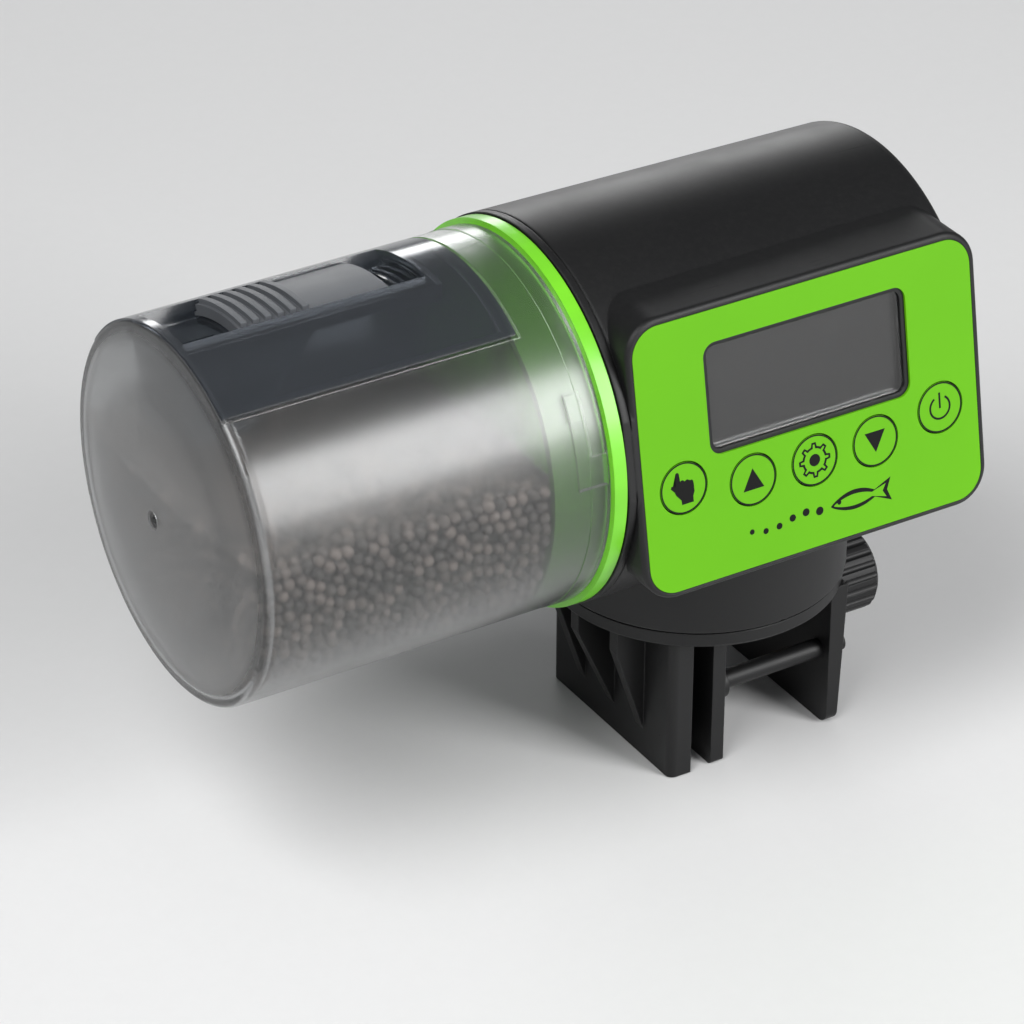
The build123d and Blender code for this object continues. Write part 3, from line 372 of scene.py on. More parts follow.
def frosted_drum(tint):
    """Frosted barrel: cloudier on its domed end, with painted shade along the domed end's corner and in the
    gate mark's dimple.
    """
    f = Finish("frosted_plastic")
    t = f.tree
    low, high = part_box("drum_barrel")
    x, y, z = add(t, "SeparateXYZ", {0: f.where}).outputs
    end = low.x + DOME_RISE
    dome = spread(t, x, end, end - 0.8 * MM)
    corner = spread(t, sums(t, "ABSOLUTE", sums(t, "SUBTRACT", x, end)), 0.5 * MM, 0.15 * MM)
    height = sums(t, "SUBTRACT", z, (low.z + high.z) / 2)
    off = sums(t, "SQRT", sums(t, "MULTIPLY_ADD", y, y, sums(t, "MULTIPLY", height, height)))
    # mask of the gate mark's dimple in the middle of the domed end, where painted shade darkens the colour
    mark = sums(t, "MULTIPLY", spread(t, off, 1.9 * MM, 1.3 * MM), dome)
    marks = effect(t, "Handling marks", Amount=0.6)
    grain = effect(t, "Moulded grain", Width=0.0016, Depth=0.0000006)
    cloudy = spread(t, noise(t, f.where, 60.0), 0.3, 0.7)
    shade = tone(t, cloudy, rgba(tint, 0.97), rgba(tint, 1.0))
    # painted shade: the colour is darkened along the domed end's corner, standing in for the dark line the
    # turning clear wall shows there
    shade = tone(t, sums(t, "MULTIPLY", corner, 0.7), shade, rgba(tint, 0.1))
    # painted shade: the gate mark's dimple is darkened almost to black, standing in for the shade it shows in
    # the clear wall
    f.put(Base_Color=tone(t, sums(t, "MULTIPLY", mark, 0.95), shade, rgba(tint, 0.02)))
    f.put(Transmission_Weight=0.985, IOR=1.47, Specular_IOR_Level=0.33)
    dull = sums(t, "MULTIPLY_ADD", dome, 0.09, sums(t, "MULTIPLY_ADD", marks["Cloud"], 0.03, 0.24))
    f.put(Roughness=dull)
    f.bump(grain["Height"])
    return f.let_lamps_through((0.72, 0.72, 0.72)).material


def metal(name, base, rough):
    """Drawn or turned metal with fine lines along the part."""
    f = Finish(name)
    t = f.tree
    drawn = add(t, "Mapping", {"Vector": f.where, "Scale": (125.0, 2500.0, 2500.0)}).outputs[0]
    streak = noise(t, drawn, 1.0, 2.0, 0.6)
    marks = effect(t, "Handling marks", Amount=1.0)
    f.put(Base_Color=tone(t, marks["Cloud"], rgba(base), rgba(base, 0.72)), Metallic=1.0)
    f.put(Roughness=sums(t, "MULTIPLY_ADD", streak, 0.18, rough))
    return f.bump(sums(t, "MULTIPLY", streak, 0.0000015)).material


def display_cell(base):
    """Blank liquid crystal cell with a faint ghost of its dots."""
    f = Finish("display_cell")
    t = f.tree
    dots = add(t, "TexVoronoi", {"Vector": f.where, "Scale": 2600.0, "Randomness": 0.0}).outputs["Distance"]
    shade = tone(t, spread(t, noise(t, f.where, 30.0), 0.3, 0.7), rgba(base, 0.93), rgba(base, 1.06))
    shade = tone(t, spread(t, dots, 0.2, 0.6, 0.0, 0.015), shade, rgba(base, 1.6))
    f.put(Base_Color=shade, Roughness=sums(t, "MULTIPLY_ADD", dots, 0.01, 0.30))
    return f.material


def circuit_board():
    """Solder mask over copper tracks."""
    f = Finish("solder_mask")
    t = f.tree
    shades = {
        "Color1": rgba((0.012, 0.11, 0.04)),
        "Color2": rgba((0.014, 0.13, 0.05)),
        "Mortar": rgba((0.03, 0.21, 0.08)),
    }
    tracks = add(t, "TexBrick", {"Vector": f.where, "Scale": 260.0, "Mortar Size": 0.03, **shades})
    fine = noise(t, f.where, 700.0)
    f.put(Base_Color=tracks.outputs["Color"], Roughness=sums(t, "MULTIPLY_ADD", fine, 0.1, 0.25))
    return f.bump(sums(t, "MULTIPLY", tracks.outputs["Fac"], 0.00002)).material


def cell_sleeve():
    """Dark printed sleeve with a plain band and bare ends."""
    f = Finish("cell_sleeve")
    t = f.tree
    low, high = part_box("aa_cells")
    along = spread(t, add(t, "SeparateXYZ", {0: f.where}).outputs[0], low.x, high.x)
    ramp = add(t, "ValToRGB", {0: along})
    ramp.color_ramp.interpolation = "CONSTANT"
    bare, dark, band = (0.6, 0.6, 0.62), (0.02, 0.03, 0.06), (0.42, 0.20, 0.05)
    stops = [(0.0, bare), (0.045, dark), (0.70, band), (0.955, bare)]
    for k, (place, shade) in enumerate(stops):
        stop = ramp.color_ramp.elements[k] if k < 2 else ramp.color_ramp.elements.new(place)
        stop.position, stop.color = place, rgba(shade)
    scuffs = effect(t, "Handling marks", Amount=1.0)
    f.put(Base_Color=ramp.outputs[0], Roughness=sums(t, "MULTIPLY_ADD", scuffs["Cloud"], 0.1, 0.25))
    return f.material


def pellet_food(base):
    """Dry extruded pellets, each of its own shade, with a mealy surface."""
    f = Finish("pellet_food")
    t = f.tree
    own = add(t, "Attribute", attribute_name="shade").outputs["Fac"]
    shade = tone(t, own, rgba(base, 0.4), rgba(base, 2.4))
    mealy = noise(t, f.where, 2600.0, 3.0, 0.7)
    shade = tone(t, spread(t, mealy, 0.35, 0.8, 0.0, 0.12), shade, rgba(base, 3.0))
    f.put(Base_Color=shade, Roughness=sums(t, "MULTIPLY_ADD", mealy, 0.2, 0.5))
    return f.bump(sums(t, "MULTIPLY", mealy, 0.00003)).material


def ink_print(base):
    f = Finish("screen_ink")
    t = f.tree
    dots = noise(t, f.where, 3200.0)
    f.put(Specular_IOR_Level=0.15, Base_Color=tone(t, dots, rgba(base, 0.8), rgba(base, 1.3)))
    f.put(Roughness=sums(t, "MULTIPLY_ADD", dots, 0.15, 0.4))
    return f.bump(sums(t, "MULTIPLY", dots, 0.000002)).material


def studio_floor(base):
    f = Finish("studio_floor")
    t = f.tree
    paper = noise(t, f.where, 350.0, 4.0, 0.6)
    f.put(Base_Color=tone(t, paper, rgba(base, 0.985), rgba(base, 1.015)), Roughness=0.85)
    return f.bump(sums(t, "MULTIPLY", paper, 0.00003)).material


NODE_FINISHES = {
    "housing": ["end_cap", "main_housing", "rear_cover", "battery_door"],
    "clamp": ["clamp_bracket", "jaw_plate", "guide_rods"],
    "knob": ["clamp_knob"],
    "frost": ["drum_barrel"],
    "smoke": ["drum_lid", "feed_chute"],
    "gate": ["gate_slider"],
    "hub": ["drive_hub"],
    "panel": ["panel_overlay", "button_feed", "button_up", "button_set", "button_down", "button_power"],
    "lens": ["lcd_window"],
    "display": ["lcd_module"],
    "board": ["control_board"],
    "chip": ["home_sensor", "board_parts", "tact_switches"],
    "acetal": ["output_gear", "third_gear", "second_gear", "first_gear"],
    "inner": ["gearbox_plate", "motor_cap", "battery_tray"],
    "cells": ["aa_cells"],
    "nickel": ["home_magnet", "battery_contacts"],
    "brass": ["shaft_bush", "motor_pinion", "clamp_nut"],
    "steel": [
        "output_shaft", "hub_screw", "motor_shaft", "gear_axles", "gearbox_screws", "motor_can", "motor_screws",
        "cover_screws", "board_screws", "clamp_screw", "screw_clip", "swivel_washer", "swivel_screw",
    ],
}


def finishes():
    """Every finish of the CAD nodes, by its key in NODE_FINISHES."""
    c, s = bpy.context.scene.feeder_colours, bpy.context.scene.feeder_sizes
    dark = [v * 1.15 for v in c.black]
    drum_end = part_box("drum_barrel")[1].x - 0.1 * MM
    return {
        "housing": moulded("housing_plastic", c.black, 0.44, s.grain, s.grain_depth, s.edge * 2),
        "clamp": moulded("clamp_plastic", c.black, 0.46, s.grain, s.grain_depth, s.edge, 1.3, 2.4),
        "knob": moulded("knob_plastic", dark, 0.42, s.grain * 0.7, s.grain_depth, s.edge * 0.7, 1.3, 2.4),
        "frost": frosted_drum(c.frost),
        "smoke": clear("smoked_plastic", c.smoke, 0.15, 0.0006, 0.0000010, (0.34, 0.34, 0.36), 0.17),
        "gate": glossy("gate_plastic", c.gate, 0.50),
        "hub": glossy("hub_plastic", c.hub_green, 0.30, coat=0.15, painted_shade_x=drum_end),
        "panel": printed("panel_film", c.green, 0.48, 0.0003),
        "lens": clear("display_lens", c.lens, 0.04, 0.004, 0.0000004, (0.5, 0.5, 0.5)),
        "display": display_cell(c.display),
        "board": circuit_board(),
        "chip": moulded("chip_epoxy", (0.012, 0.012, 0.012), 0.5, 0.0002, 0.000004, 0.0001),
        "acetal": glossy("acetal", (0.74, 0.74, 0.70), 0.35),
        "inner": moulded("inner_plastic", dark, 0.5, s.grain, s.grain_depth, s.edge),
        "cells": cell_sleeve(),
        "nickel": metal("nickel_plate", (0.66, 0.65, 0.62), 0.14),
        "brass": metal("turned_brass", (0.72, 0.50, 0.20), 0.2),
        "steel": metal("plated_steel", (0.56, 0.56, 0.57), 0.22),
    }


# --- mesh helpers ---
def new_piece(name, mesh, material, body, smooth=True):
    """A mesh object with its finish, riding on a CAD body."""
    made = bpy.data.objects.new(name, mesh)
    bpy.context.scene.collection.objects.link(made)
    made.data.materials.append(material)
    if smooth:
        mesh.shade_smooth()
    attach(made, body)
    return made


def mesh_from(name, verts, faces):
    """A mesh from arrays, with every face of the same number of corners."""
    mesh = bpy.data.meshes.new(name)
    verts, faces = np.asarray(verts, np.float32), np.asarray(faces, np.int32)
    corners = faces.shape[1]
    mesh.vertices.add(len(verts))
    mesh.vertices.foreach_set("co", verts.ravel())
    mesh.loops.add(faces.size)
    mesh.loops.foreach_set("vertex_index", faces.ravel())
    mesh.polygons.add(len(faces))
    mesh.polygons.foreach_set("loop_start", np.arange(len(faces), dtype=np.int32) * corners)
    mesh.update(calc_edges=True)
    return mesh


def node_vertices(name):
    """A CAD node's vertices as rows of an array."""
    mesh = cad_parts[name].data
    found = np.empty(len(mesh.vertices) * 3)
    mesh.vertices.foreach_get("co", found)
    return found.reshape(-1, 3)


class PanelPlane:
    """The key panel's front plane, read from the overlay's mesh: u to the right, v up the slope."""

    def __init__(self):
        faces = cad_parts["panel_overlay"].data.polygons
        front = max((p for p in faces if p.normal.y < -0.5), key=lambda p: p.area)
        self.n = Vector(front.normal).normalized()
        self.u = Vector((1.0, 0.0, 0.0))
        self.v = self.n.cross(self.u)

    def centre(self, node):
        """Middle of a node's front face."""
        co = node_vertices(node)
        height = co @ np.array(self.n)
        front = co[height > height.max() - FACE_DEPTH]
        across, along = front @ np.array(self.u), front @ np.array(self.v)
        middle = [(a.min() + a.max()) / 2 for a in (across, along)]
        return self.u * middle[0] + self.v * middle[1] + self.n * height.max()

    def matrix(self, origin):
        turn = Matrix((self.u, self.v, self.n)).transposed().to_4x4()
        return Matrix.Translation(origin) @ turn


# --- printed marks, drawn in millimetres from each mark's middle ---
def arc(radius, start, end, count):
    angles = [math.radians(start + (end - start) * k / count) for k in range(count + 1)]
    return [(radius * math.cos(a), radius * math.sin(a)) for a in angles]


def add_plate(bm, outline, ink):
    """Flat mark with a closed outline."""
    low = [bm.verts.new((x * MM, y * MM, -ink)) for x, y in outline]
    high = [bm.verts.new((x * MM, y * MM, ink)) for x, y in outline]
    bm.faces.new(high)
    bm.faces.new(list(reversed(low)))
    for k in range(len(outline)):
        j = (k + 1) % len(outline)
        bm.faces.new((low[k], low[j], high[j], high[k]))


def add_band(bm, outer, inner, ink, closed=True):
    """Line mark between two outlines with the same number of points."""
    edges = ((outer, ink), (inner, ink), (inner, -ink), (outer, -ink))
    rows = [[bm.verts.new((x * MM, y * MM, z)) for x, y in line] for line, z in edges]
    count = len(outer)
    for k in range(count if closed else count - 1):
        j = (k + 1) % count
        for r in range(4):
            a, b = rows[r], rows[(r + 1) % 4]
            bm.faces.new((a[k], a[j], b[j], b[k]))
    if not closed:
        bm.faces.new([row[0] for row in rows])
        bm.faces.new([row[-1] for row in reversed(rows)])


def add_ring(bm, r0, r1, ink, count=72):
    add_band(bm, arc(r1, 0, 360, count)[:-1], arc(r0, 0, 360, count)[:-1], ink)


def add_dot(bm, r, ink, x=0.0, y=0.0, count=32):
    add_plate(bm, [(x + a, y + b) for a, b in arc(r, 0, 360, count)[:-1]], ink)


def draw_hand(bm, ink):
    """Hand with one finger pointing up."""
    tip = [(-1.19 + a, 2.78 + b) for a, b in arc(0.38, 180, 0, 8)]
    knuckles = []
    for x, y, r in ((-0.26, 1.02, 0.52), (0.74, 0.94, 0.48), (1.62, 0.74, 0.40)):
        knuckles += [(x + a, y + b) for a, b in arc(r, 165, 20, 6)]
    palm = [(2.10, 0.2), (2.12, -1.15), (1.80, -1.95), (1.80, -3.05)]
    palm += [(-0.62, -3.05), (-0.70, -2.15), (-1.62, -1.10)]
    thumb = [(-1.98, -0.30), (-2.66, 0.42), (-2.56, 0.86), (-2.20, 0.92), (-1.57, 0.40)]
    add_plate(bm, list(reversed(tip + knuckles + palm + thumb)), ink)


def draw_up(bm, ink, way=1):
    corners = [(-2.2, -1.85), (2.2, -1.85), (0.0, 2.15)]
    add_plate(bm, [(x * way, y * way) for x, y in corners], ink)


def draw_down(bm, ink):
    draw_up(bm, ink, -1)


def gear_outline(r_root, r_tip, inset=0.0, teeth=8):
    """Outline of a gear, with its teeth narrowed by inset, a share of the tooth pitch."""
    points = []
    pitch = 360.0 / teeth
    root, tip = 0.30 - inset, 0.17 - 0.6 * inset
    for k in range(teeth):
        for r, part in ((r_root, -root), (r_tip, -tip), (r_tip, tip), (r_root, root)):
            b = math.radians((k + part) * pitch)
            points.append((r * math.cos(b), r * math.sin(b)))
        points += arc(r_root, (k + root) * pitch, (k + 1 - root) * pitch, 4)[1:-1]
    return points


def draw_gear(bm, ink):
    add_band(bm, gear_outline(2.62, 3.38), gear_outline(2.20, 2.96, 0.15), ink)
    add_dot(bm, 1.15, ink)


def draw_power(bm, ink):
    add_band(bm, arc(2.35, 122, 418, 40), arc(1.95, 122, 418, 40), ink, closed=False)
    add_plate(bm, [(-0.2, -0.15), (0.2, -0.15), (0.2, 2.85), (-0.2, 2.85)], ink)


def draw_fish(bm, ink):
    """A plain fish after a row of pellets, in the band under the keys."""
    across = np.linspace(-5.2, 4.3, 20)
    swell = np.sin(math.pi * (across + 5.3) / 10.6) ** 0.8
    back = list(zip(across, 2.0 * swell))
    belly = list(zip(across[::-1], -1.75 * swell[::-1]))
    shape = back + [(7.9, 2.25), (7.0, 0.0), (7.9, -2.25)] + belly
    inner = [(x * 0.87 - 0.06, y * 0.58) for x, y in shape]
    add_band(bm, [(x + 8.0, y) for x, y in reversed(shape)], [(x + 8.0, y) for x, y in reversed(inner)], ink)
    add_dot(bm, 0.42, ink, 4.6, 0.4)
    for k in range(6):
        add_dot(bm, 0.80 - 0.06 * k, ink, 0.3 - 2.9 * k, 0.6 * math.sin(1.3 * k))


KEY_MARKS = {"feed": draw_hand, "up": draw_up, "set": draw_gear, "down": draw_down, "power": draw_power}
KEY_RING = (4.47, 4.74)     # inner and outer radius
FISH_UP = 6.6               # from the panel's foot


def marks_mesh(name, draw, ink, place, ring=True):
    bm = bmesh.new()
    draw(bm, ink)
    if ring:
        add_ring(bm, *KEY_RING, ink)
    bmesh.ops.triangulate(bm, faces=[f for f in bm.faces if len(f.verts) > 4])
    bmesh.ops.recalc_face_normals(bm, faces=bm.faces)
    bm.transform(place)
    mesh = bpy.data.meshes.new(name)
    bm.to_mesh(mesh)
    bm.free()
    return mesh


# --- feed ---
def pack_pellets(inside, start, diameter, rounds=70):
    """Pushes overlapping pellets apart and keeps them in their room."""
    p = start.copy()
    for _ in range(rounds):
        p = p[np.argsort(p[:, 0], kind="stable")]
        push = np.zeros_like(p)
        step = 1
        while step < len(p):
            gap = p[step:] - p[:-step]
            near = gap[:, 0] < diameter
            if not near.any():
                break
            far = np.linalg.norm(gap, axis=1)
            lap = np.where(near, np.clip(diameter - far, 0.0, None), 0.0)
            move = gap * (0.26 * lap / np.maximum(far, 1e-9))[:, None]
            push[step:] += move
            push[:-step] -= move
            step += 1
        p = inside(p + push)
    return p


class FeedRoom:
    """The room that the feed fills: the lower part of the drum, clear of the hub's sleeve."""

    def __init__(self, sizes):
        low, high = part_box("drum_barrel")
        hub_low, hub_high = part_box("drive_hub")
        self.axis_z = (low.z + high.z) / 2
        self.x0 = low.x + DOME_RISE + DOME_WALL
        self.x1 = hub_low.x + FEED_IN_SLEEVE
        self.sleeve_x = hub_low.x
        self.r = sizes.drum_bore - FEED_GAP
        self.sleeve_r = (hub_high.z - hub_low.z) / 2 - SLEEVE_INSET
        self.level = sizes.feed_level
        self.half = sizes.pellet / 2
        self.depth = FEED_SKIN * sizes.pellet

    def end_x(self, r):
        """X of the domed end's inner face at a distance from the axis."""
        out = np.clip(r / (self.r - DOME_EDGE), 0.0, 1.0)
        return self.x0 - DOME_RISE * (1.0 - out ** 2) + FEED_GAP

    def keep_in(self, p):
        """The points moved inside the drum, under the feed's gently uneven surface."""
        y, z = p[:, 1], p[:, 2] - self.axis_z
        swell = np.sin(p[:, 0] * 260.0) * np.sin(p[:, 1] * 210.0 + 1.0)
        z = np.minimum(z, self.level - self.half + 0.5 * self.half * swell)
        r = np.hypot(y, z)
        wall = np.where(p[:, 0] > self.sleeve_x - self.half, self.sleeve_r, self.r) - self.half
        squeeze = np.minimum(1.0, wall / np.maximum(r, 1e-9))
        y, z = y * squeeze, z * squeeze
        lowest = self.end_x(np.hypot(y, z)) + self.half
        x = np.clip(p[:, 0], lowest, self.x1 - self.half)
        return np.column_stack((x, y, z + self.axis_z))

    def in_skin(self, p):
        """True near the drum's wall, its domed end or the feed's surface."""
        z = p[:, 2] - self.axis_z
        r = np.hypot(p[:, 1], z)
        nearest = np.minimum.reduce((self.r - r, self.level - z, p[:, 0] - self.end_x(r)))
        return (nearest < self.depth) & (nearest > 0)

    def scatter(self, rng, diameter):
        """Jittered close-packed lattice through the skin of the feed."""
        step = diameter * 0.985
        rows = []
        nx = int((self.x1 - self.x0 + DOME_RISE) / (step * 0.866)) + 2
        n = int(2 * self.r / step) + 4
        k = np.arange(n) - n / 2
        for i in range(nx):
            yy, zz = np.meshgrid(k * step + 0.5 * step * (i % 2), k * step * 0.943)
            zz = zz + 0.33 * step * (i % 2)
            yy = yy + (np.arange(n)[:, None] % 2) * 0.5 * step
            xx = np.full_like(yy, self.x0 - DOME_RISE + step * 0.866 * i)
            rows.append(np.column_stack((xx.ravel(), yy.ravel(), zz.ravel() + self.axis_z)))
        p = np.vstack(rows)
        p = p[self.in_skin(p)]
        return p + rng.normal(0.0, 0.30 * diameter, p.shape)


def ball(level):
    """Unit sphere of triangles."""
    bm = bmesh.new()
    bmesh.ops.create_icosphere(bm, subdivisions=level, radius=1.0)
    verts = np.array([v.co for v in bm.verts])
    faces = np.array([[v.index for v in f.verts] for f in bm.faces])
    bm.free()
    return verts, faces


def pellet_mesh(places, sizes, rng):
    """All pellets in one mesh, each a slightly uneven ball with its own shade."""
    verts, faces = ball(2)
    count = len(places)
    radius = sizes.pellet / 2 * rng.uniform(0.90, 1.03, count)
    stretch = rng.uniform(0.92, 1.08, (count, 3))
    turn = rng.uniform(0.0, 2 * math.pi, count)
    body = verts[None, :, :] * stretch[:, None, :] * radius[:, None, None]
    c, s = np.cos(turn)[:, None], np.sin(turn)[:, None]
    x, y = body[:, :, 0] * c - body[:, :, 1] * s, body[:, :, 0] * s + body[:, :, 1] * c
    body = np.stack((x, y, body[:, :, 2]), axis=2) + places[:, None, :]
    all_faces = faces[None, :, :] + (np.arange(count) * len(verts))[:, None, None]
    mesh = mesh_from("feed_pellets", body.reshape(-1, 3), all_faces.reshape(-1, 3))
    shade = mesh.attributes.new("shade", "FLOAT", "POINT")
    own = np.repeat(rng.uniform(0.0, 1.0, count) ** 1.5, len(verts))
    shade.data.foreach_set("value", own.astype(np.float32))
    return mesh


def core_mesh(room, across=48, along=40):
    """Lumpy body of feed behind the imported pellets."""
    inset = room.half * 2.3
    r, level = room.r - inset, room.level - inset
    side = math.acos(-level / r)
    ring = [(-r * math.sin(a), -r * math.cos(a)) for a in np.linspace(-side, side, across)]
    flat = np.linspace(ring[-1][0], ring[0][0], across // 2)[1:-1]
    ring += [(y, level) for y in flat]
    xs = np.linspace(room.x0 + inset, room.x1 - inset * 0.4, along)
    verts, faces = [], []
    for i, x in enumerate(xs):
        pull = 0.96 if i in (0, along - 1) else 1.0
        for k, (y, z) in enumerate(ring):
            lump = 1.0 + 0.012 * math.sin(k * 2.1 + i * 1.7) * math.cos(i * 2.9 + k * 0.8)
            verts.append((x, y * pull * lump, room.axis_z + z * pull * lump))
    n = len(ring)
    for i in range(along - 1):
        for k in range(n):
            a, b = i * n + k, i * n + (k + 1) % n
            faces += [(a, b, b + n), (a, b + n, a + n)]
    for i in (0, along - 1):
        verts.append((xs[i], 0.0, room.axis_z + (level - r) / 2))
        for k in range(n):
            a, b = i * n + k, i * n + (k + 1) % n
            faces.append((b, a, len(verts) - 1) if i == 0 else (a, b, len(verts) - 1))
    mesh = mesh_from("feed_core", verts, faces)
    # painted shade: the core takes the darkest pellet tone, standing in for the shade deep between the pellets
    shade = mesh.attributes.new("shade", "FLOAT", "POINT")
    shade.data.foreach_set("value", np.zeros(len(verts), np.float32))
    return mesh


# --- clamp screw ---
def turned_rows(profile, around):
    """Rings of points about X from (x, radius) pairs."""
    angles = np.linspace(0.0, 2 * math.pi, around, endpoint=False)
    return [[(x, r * math.cos(a), r * math.sin(a)) for a in angles] for x, r in profile]


def rows_mesh(name, rows):
    """Closed skin over rings of points, with a cap at each end."""
    n = len(rows[0])
    verts = [p for row in rows for p in row]
    faces = []
    for i in range(len(rows) - 1):
        for k in range(n):
            a, b = i * n + k, i * n + (k + 1) % n
            faces += [(a, a + n, b + n), (a, b + n, b)]
    for i, flip in ((0, False), (len(rows) - 1, True)):
        row = rows[i]
        verts.append(tuple(sum(p[c] for p in row) / n for c in range(3)))
        for k in range(n):
            a, b = i * n + k, i * n + (k + 1) % n
            faces.append((b, a, len(verts) - 1) if flip else (a, b, len(verts) - 1))
    return mesh_from(name, verts, faces)


def thread_rows(x0, x1, radius, depth, pitch, around=36, per_pitch=12):
    """Rings whose radius follows a trapezoid thread round the screw."""
    rows = []
    count = int((x1 - x0) / pitch * per_pitch) + 1
    for i in range(count):
        x = x0 + (x1 - x0) * i / (count - 1)
        fade = min(1.0, (x - x0) / pitch, (x1 - x) / pitch)
        row = []
        for k in range(around):
            a = 2 * math.pi * k / around
            phase = (x / pitch - k / around) % 1.0
            flank = min(1.0, max(0.0, (abs(phase - 0.5) - THREAD_CREST) / THREAD_FLANK))
            r = radius - depth * flank * max(fade, 0.0)
            row.append((x, r * math.cos(a), r * math.sin(a)))
        rows.append(row)
    return rows


def screw_mesh(sizes):
    """Clamp screw: plain tip with the clip's neck, then the thread."""
    low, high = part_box("clamp_screw")
    clip_low, clip_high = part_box("screw_clip")
    radius = (high.y - low.y) / 2
    tip, step, chamfer = SCREW_TIP, 0.02 * MM, 0.3 * MM
    body_x = clip_low.x + 1.2 * MM
    profile = [
        (low.x, tip - chamfer), (low.x + chamfer, tip), (clip_low.x - step, tip), (clip_low.x, SCREW_NECK),
        (clip_high.x, SCREW_NECK), (clip_high.x + step, tip), (body_x - step, tip),
        (body_x, radius - sizes.thread_depth),
    ]
    rows = turned_rows(profile, 36)
    rows += thread_rows(body_x + 0.3 * MM, high.x, radius - 0.01 * MM, sizes.thread_depth, sizes.thread_pitch)
    y, z = (low.y + high.y) / 2, (low.z + high.z) / 2
    return rows_mesh("screw_thread", [[(p[0], p[1] + y, p[2] + z) for p in row] for row in rows])


# --- stage ---
def area_lamp(name, place, aim, width, height, power):
    data = bpy.data.lights.new(name, "AREA")
    data.shape = "RECTANGLE"
    data.size, data.size_y, data.energy = width, height, power
    lamp = bpy.data.objects.new(name, data)
    lamp.location = place
    lamp.rotation_euler = (Vector(aim) - Vector(place)).to_track_quat("-Z", "Y").to_euler()
    bpy.context.scene.collection.objects.link(lamp)


# name, place from the object's middle, width, height and power
LAMPS = (
    ("overhead_softbox", (-0.62, -0.30, 0.88), 0.60, 0.60, 10.0),
    ("front_softbox", (0.47, -0.86, 0.50), 0.42, 0.62, 7.4),
    ("front_glow", (0.49, -0.90, 0.42), 0.46, 0.95, 3.4),
    ("rim_softbox", (0.50, 0.95, 0.22), 0.50, 0.20, 2.2),
)


def place_camera(stage):
    data = bpy.data.cameras.new("studio_camera")
    data.lens, data.sensor_width = stage.lens, 36.0
    data.clip_start, data.clip_end = 0.01, 50.0
    camera = bpy.data.objects.new("studio_camera", data)
    az, el, roll = stage.azimuth, stage.elevation, stage.roll
    back = Vector((math.sin(az) * math.cos(el), -math.cos(az) * math.cos(el), math.sin(el)))
    level = Vector((math.cos(az), math.sin(az), 0.0))
    up = back.cross(level)
    right = level * math.cos(roll) + up * math.sin(roll)
    axes = Matrix((right, back.cross(right), back)).transposed().to_4x4()
    camera.matrix_world = Matrix.Translation(Vector(stage.aim) + back * stage.distance) @ axes
    bpy.context.scene.collection.objects.link(camera)
    bpy.context.scene.camera = camera


def lay_floor(colours):
    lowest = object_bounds()[0][2]
    half = 6.0      # half the floor's side, in metres
    verts = [(-half, -half, lowest), (half, -half, lowest), (half, half, lowest), (-half, half, lowest)]
    mesh = mesh_from("studio_floor", verts, [(0, 1, 2, 3)])
    floor = bpy.data.objects.new("studio_floor", mesh)
    bpy.context.scene.collection.objects.link(floor)
    floor.data.materials.append(studio_floor(colours.floor))
    floor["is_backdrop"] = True


# --- operators ---
class FEEDER_OT_stage(bpy.types.Operator):
    """Lay the floor, hang the lamps and place the camera"""

    bl_idname = "feeder.stage"
    bl_label = "Studio"

    def execute(self, context):
        scene = context.scene
        place_camera(scene.feeder_stage)
        lay_floor(scene.feeder_colours)
        world = bpy.data.worlds.new("studio_world")
        world.use_nodes = True
        background = world.node_tree.nodes["Background"].inputs
        background[0].default_value = (0.92, 0.94, 0.96, 1.0)
        background[1].default_value = 0.20
        scene.world = world
        middle = Vector((-0.035, 0.0, 0.03))
        for name, way, wide, tall, power in LAMPS:
            area_lamp(name, middle + Vector(way), middle, wide, tall, power)
        scene.view_settings.view_transform = "Standard"
        return {"FINISHED"}


class FEEDER_OT_finishes(bpy.types.Operator):
    """Give every CAD node its finish"""

    bl_idname = "feeder.finishes"
    bl_label = "Finishes"

    def execute(self, context):
        made = finishes()
        given = set()
        for key, nodes in NODE_FINISHES.items():
            for name in nodes:
                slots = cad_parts[name].data.materials
                slots.clear()
                slots.append(made[key])
                given.add(name)
        bare = set(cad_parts) - given
        if bare:
            raise RuntimeError(f"nodes without a finish: {sorted(bare)}")
        return {"FINISHED"}


class FEEDER_OT_marks(bpy.types.Operator):
    """Print the keys' marks and the plain fish under them"""

    bl_idname = "feeder.marks"
    bl_label = "Printed marks"

    def execute(self, context):
        ink = context.scene.feeder_sizes.ink
        finish = ink_print(context.scene.feeder_colours.ink)
        panel = PanelPlane()
        for name, draw in KEY_MARKS.items():
            place = panel.matrix(panel.centre("button_" + name))
            mesh = marks_mesh("mark_" + name, draw, ink, place)
            new_piece("mark_" + name, mesh, finish, "key_" + name, smooth=False)
        middle = panel.centre("panel_overlay")
        foot = node_vertices("panel_overlay") @ np.array(panel.v)
        origin = middle + panel.v * (foot.min() - middle.dot(panel.v) + FISH_UP * MM)
        mesh = marks_mesh("mark_fish", draw_fish, ink, panel.matrix(origin), ring=False)
        new_piece("mark_fish", mesh, finish, "housing", smooth=False)
        return {"FINISHED"}


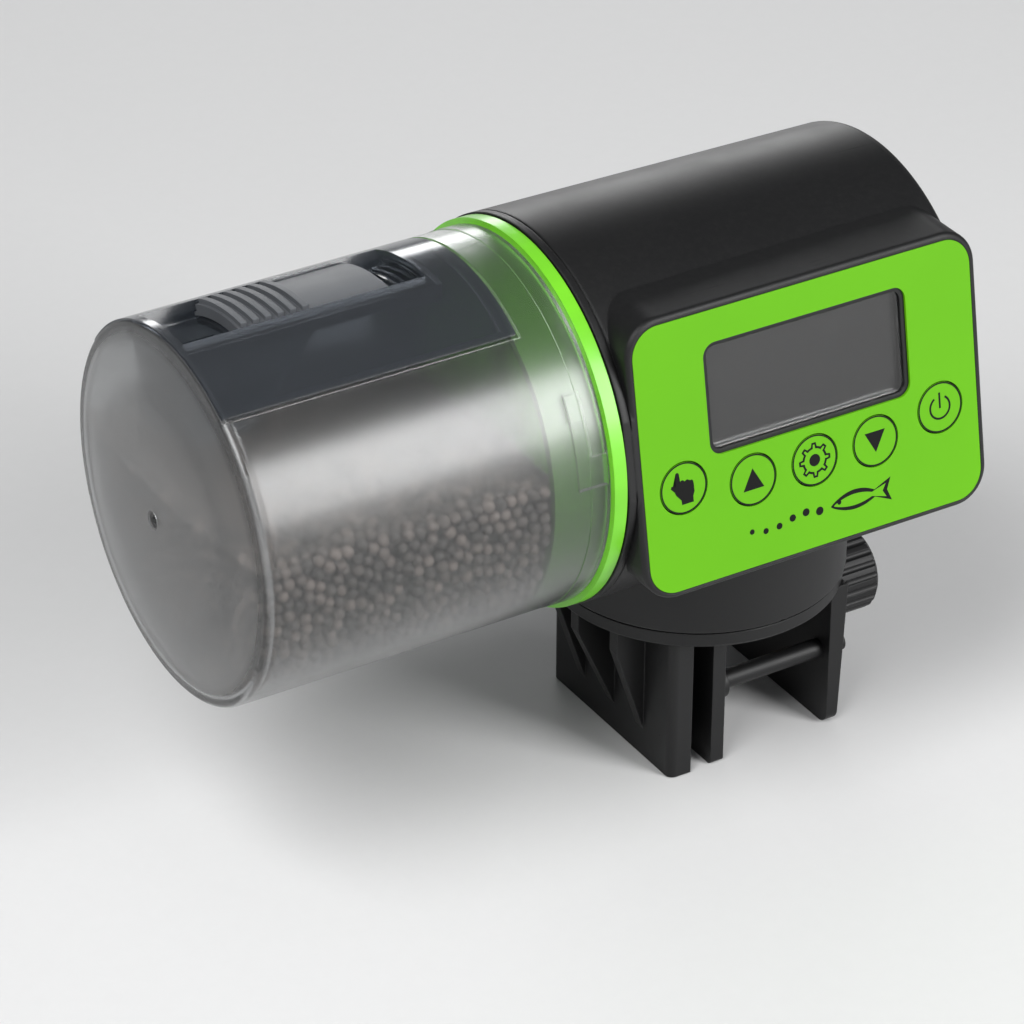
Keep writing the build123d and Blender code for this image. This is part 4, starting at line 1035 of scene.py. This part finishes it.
class FEEDER_OT_feed(bpy.types.Operator):
    """Fill the drum with dry pellets up to the feed level"""

    bl_idname = "feeder.feed"
    bl_label = "Feed"

    def execute(self, context):
        sizes = context.scene.feeder_sizes
        rng = np.random.default_rng(sizes.pellet_seed)
        room = FeedRoom(sizes)
        places = room.keep_in(room.scatter(rng, sizes.pellet))
        places = pack_pellets(room.keep_in, places, sizes.pellet)
        if len(places) < 500:
            raise RuntimeError("the feed has too few pellets to fill the drum")
        finish = pellet_food(context.scene.feeder_colours.feed)
        new_piece("feed_pellets", pellet_mesh(places, sizes, rng), finish, "housing")
        new_piece("feed_core", core_mesh(room), finish, "housing")
        return {"FINISHED"}


class FEEDER_OT_screw(bpy.types.Operator):
    """Cut the clamp screw's thread"""

    bl_idname = "feeder.screw"
    bl_label = "Clamp screw"

    def execute(self, context):
        sizes = context.scene.feeder_sizes
        finish = metal("screw_steel", (0.30, 0.30, 0.31), 0.28)
        piece = new_piece("screw_thread", screw_mesh(sizes), finish, "screw", smooth=False)
        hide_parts("clamp_screw")
        return {"FINISHED"}


STEPS = (FEEDER_OT_stage, FEEDER_OT_finishes, FEEDER_OT_marks, FEEDER_OT_feed, FEEDER_OT_screw)


class FEEDER_PT_sidebar(bpy.types.Panel):
    """The feeder's sizes, colours and pieces"""

    bl_label = "Feeder"
    bl_idname = "FEEDER_PT_sidebar"
    bl_space_type = "VIEW_3D"
    bl_region_type = "UI"
    bl_category = "Feeder"

    def draw(self, context):
        for data in (context.scene.feeder_sizes, context.scene.feeder_colours, context.scene.feeder_stage):
            box = self.layout.box()
            for key in data.__annotations__:
                box.prop(data, key)
        for step in STEPS:
            self.layout.operator(step.bl_idname)


GROUPS = {"feeder_sizes": FeederSizes, "feeder_colours": FeederColours, "feeder_stage": FeederStage}


def register():
    for kind in (*GROUPS.values(), *STEPS, FEEDER_PT_sidebar):
        bpy.utils.register_class(kind)
    for key, kind in GROUPS.items():
        setattr(bpy.types.Scene, key, PointerProperty(type=kind))


def unregister():
    for key in GROUPS:
        delattr(bpy.types.Scene, key)
    for kind in reversed((*GROUPS.values(), *STEPS, FEEDER_PT_sidebar)):
        bpy.utils.unregister_class(kind)


def main():
    register()
    for step in STEPS:
        area, name = step.bl_idname.split(".")
        getattr(getattr(bpy.ops, area), name)()


if __name__ == "__main__":
    main()
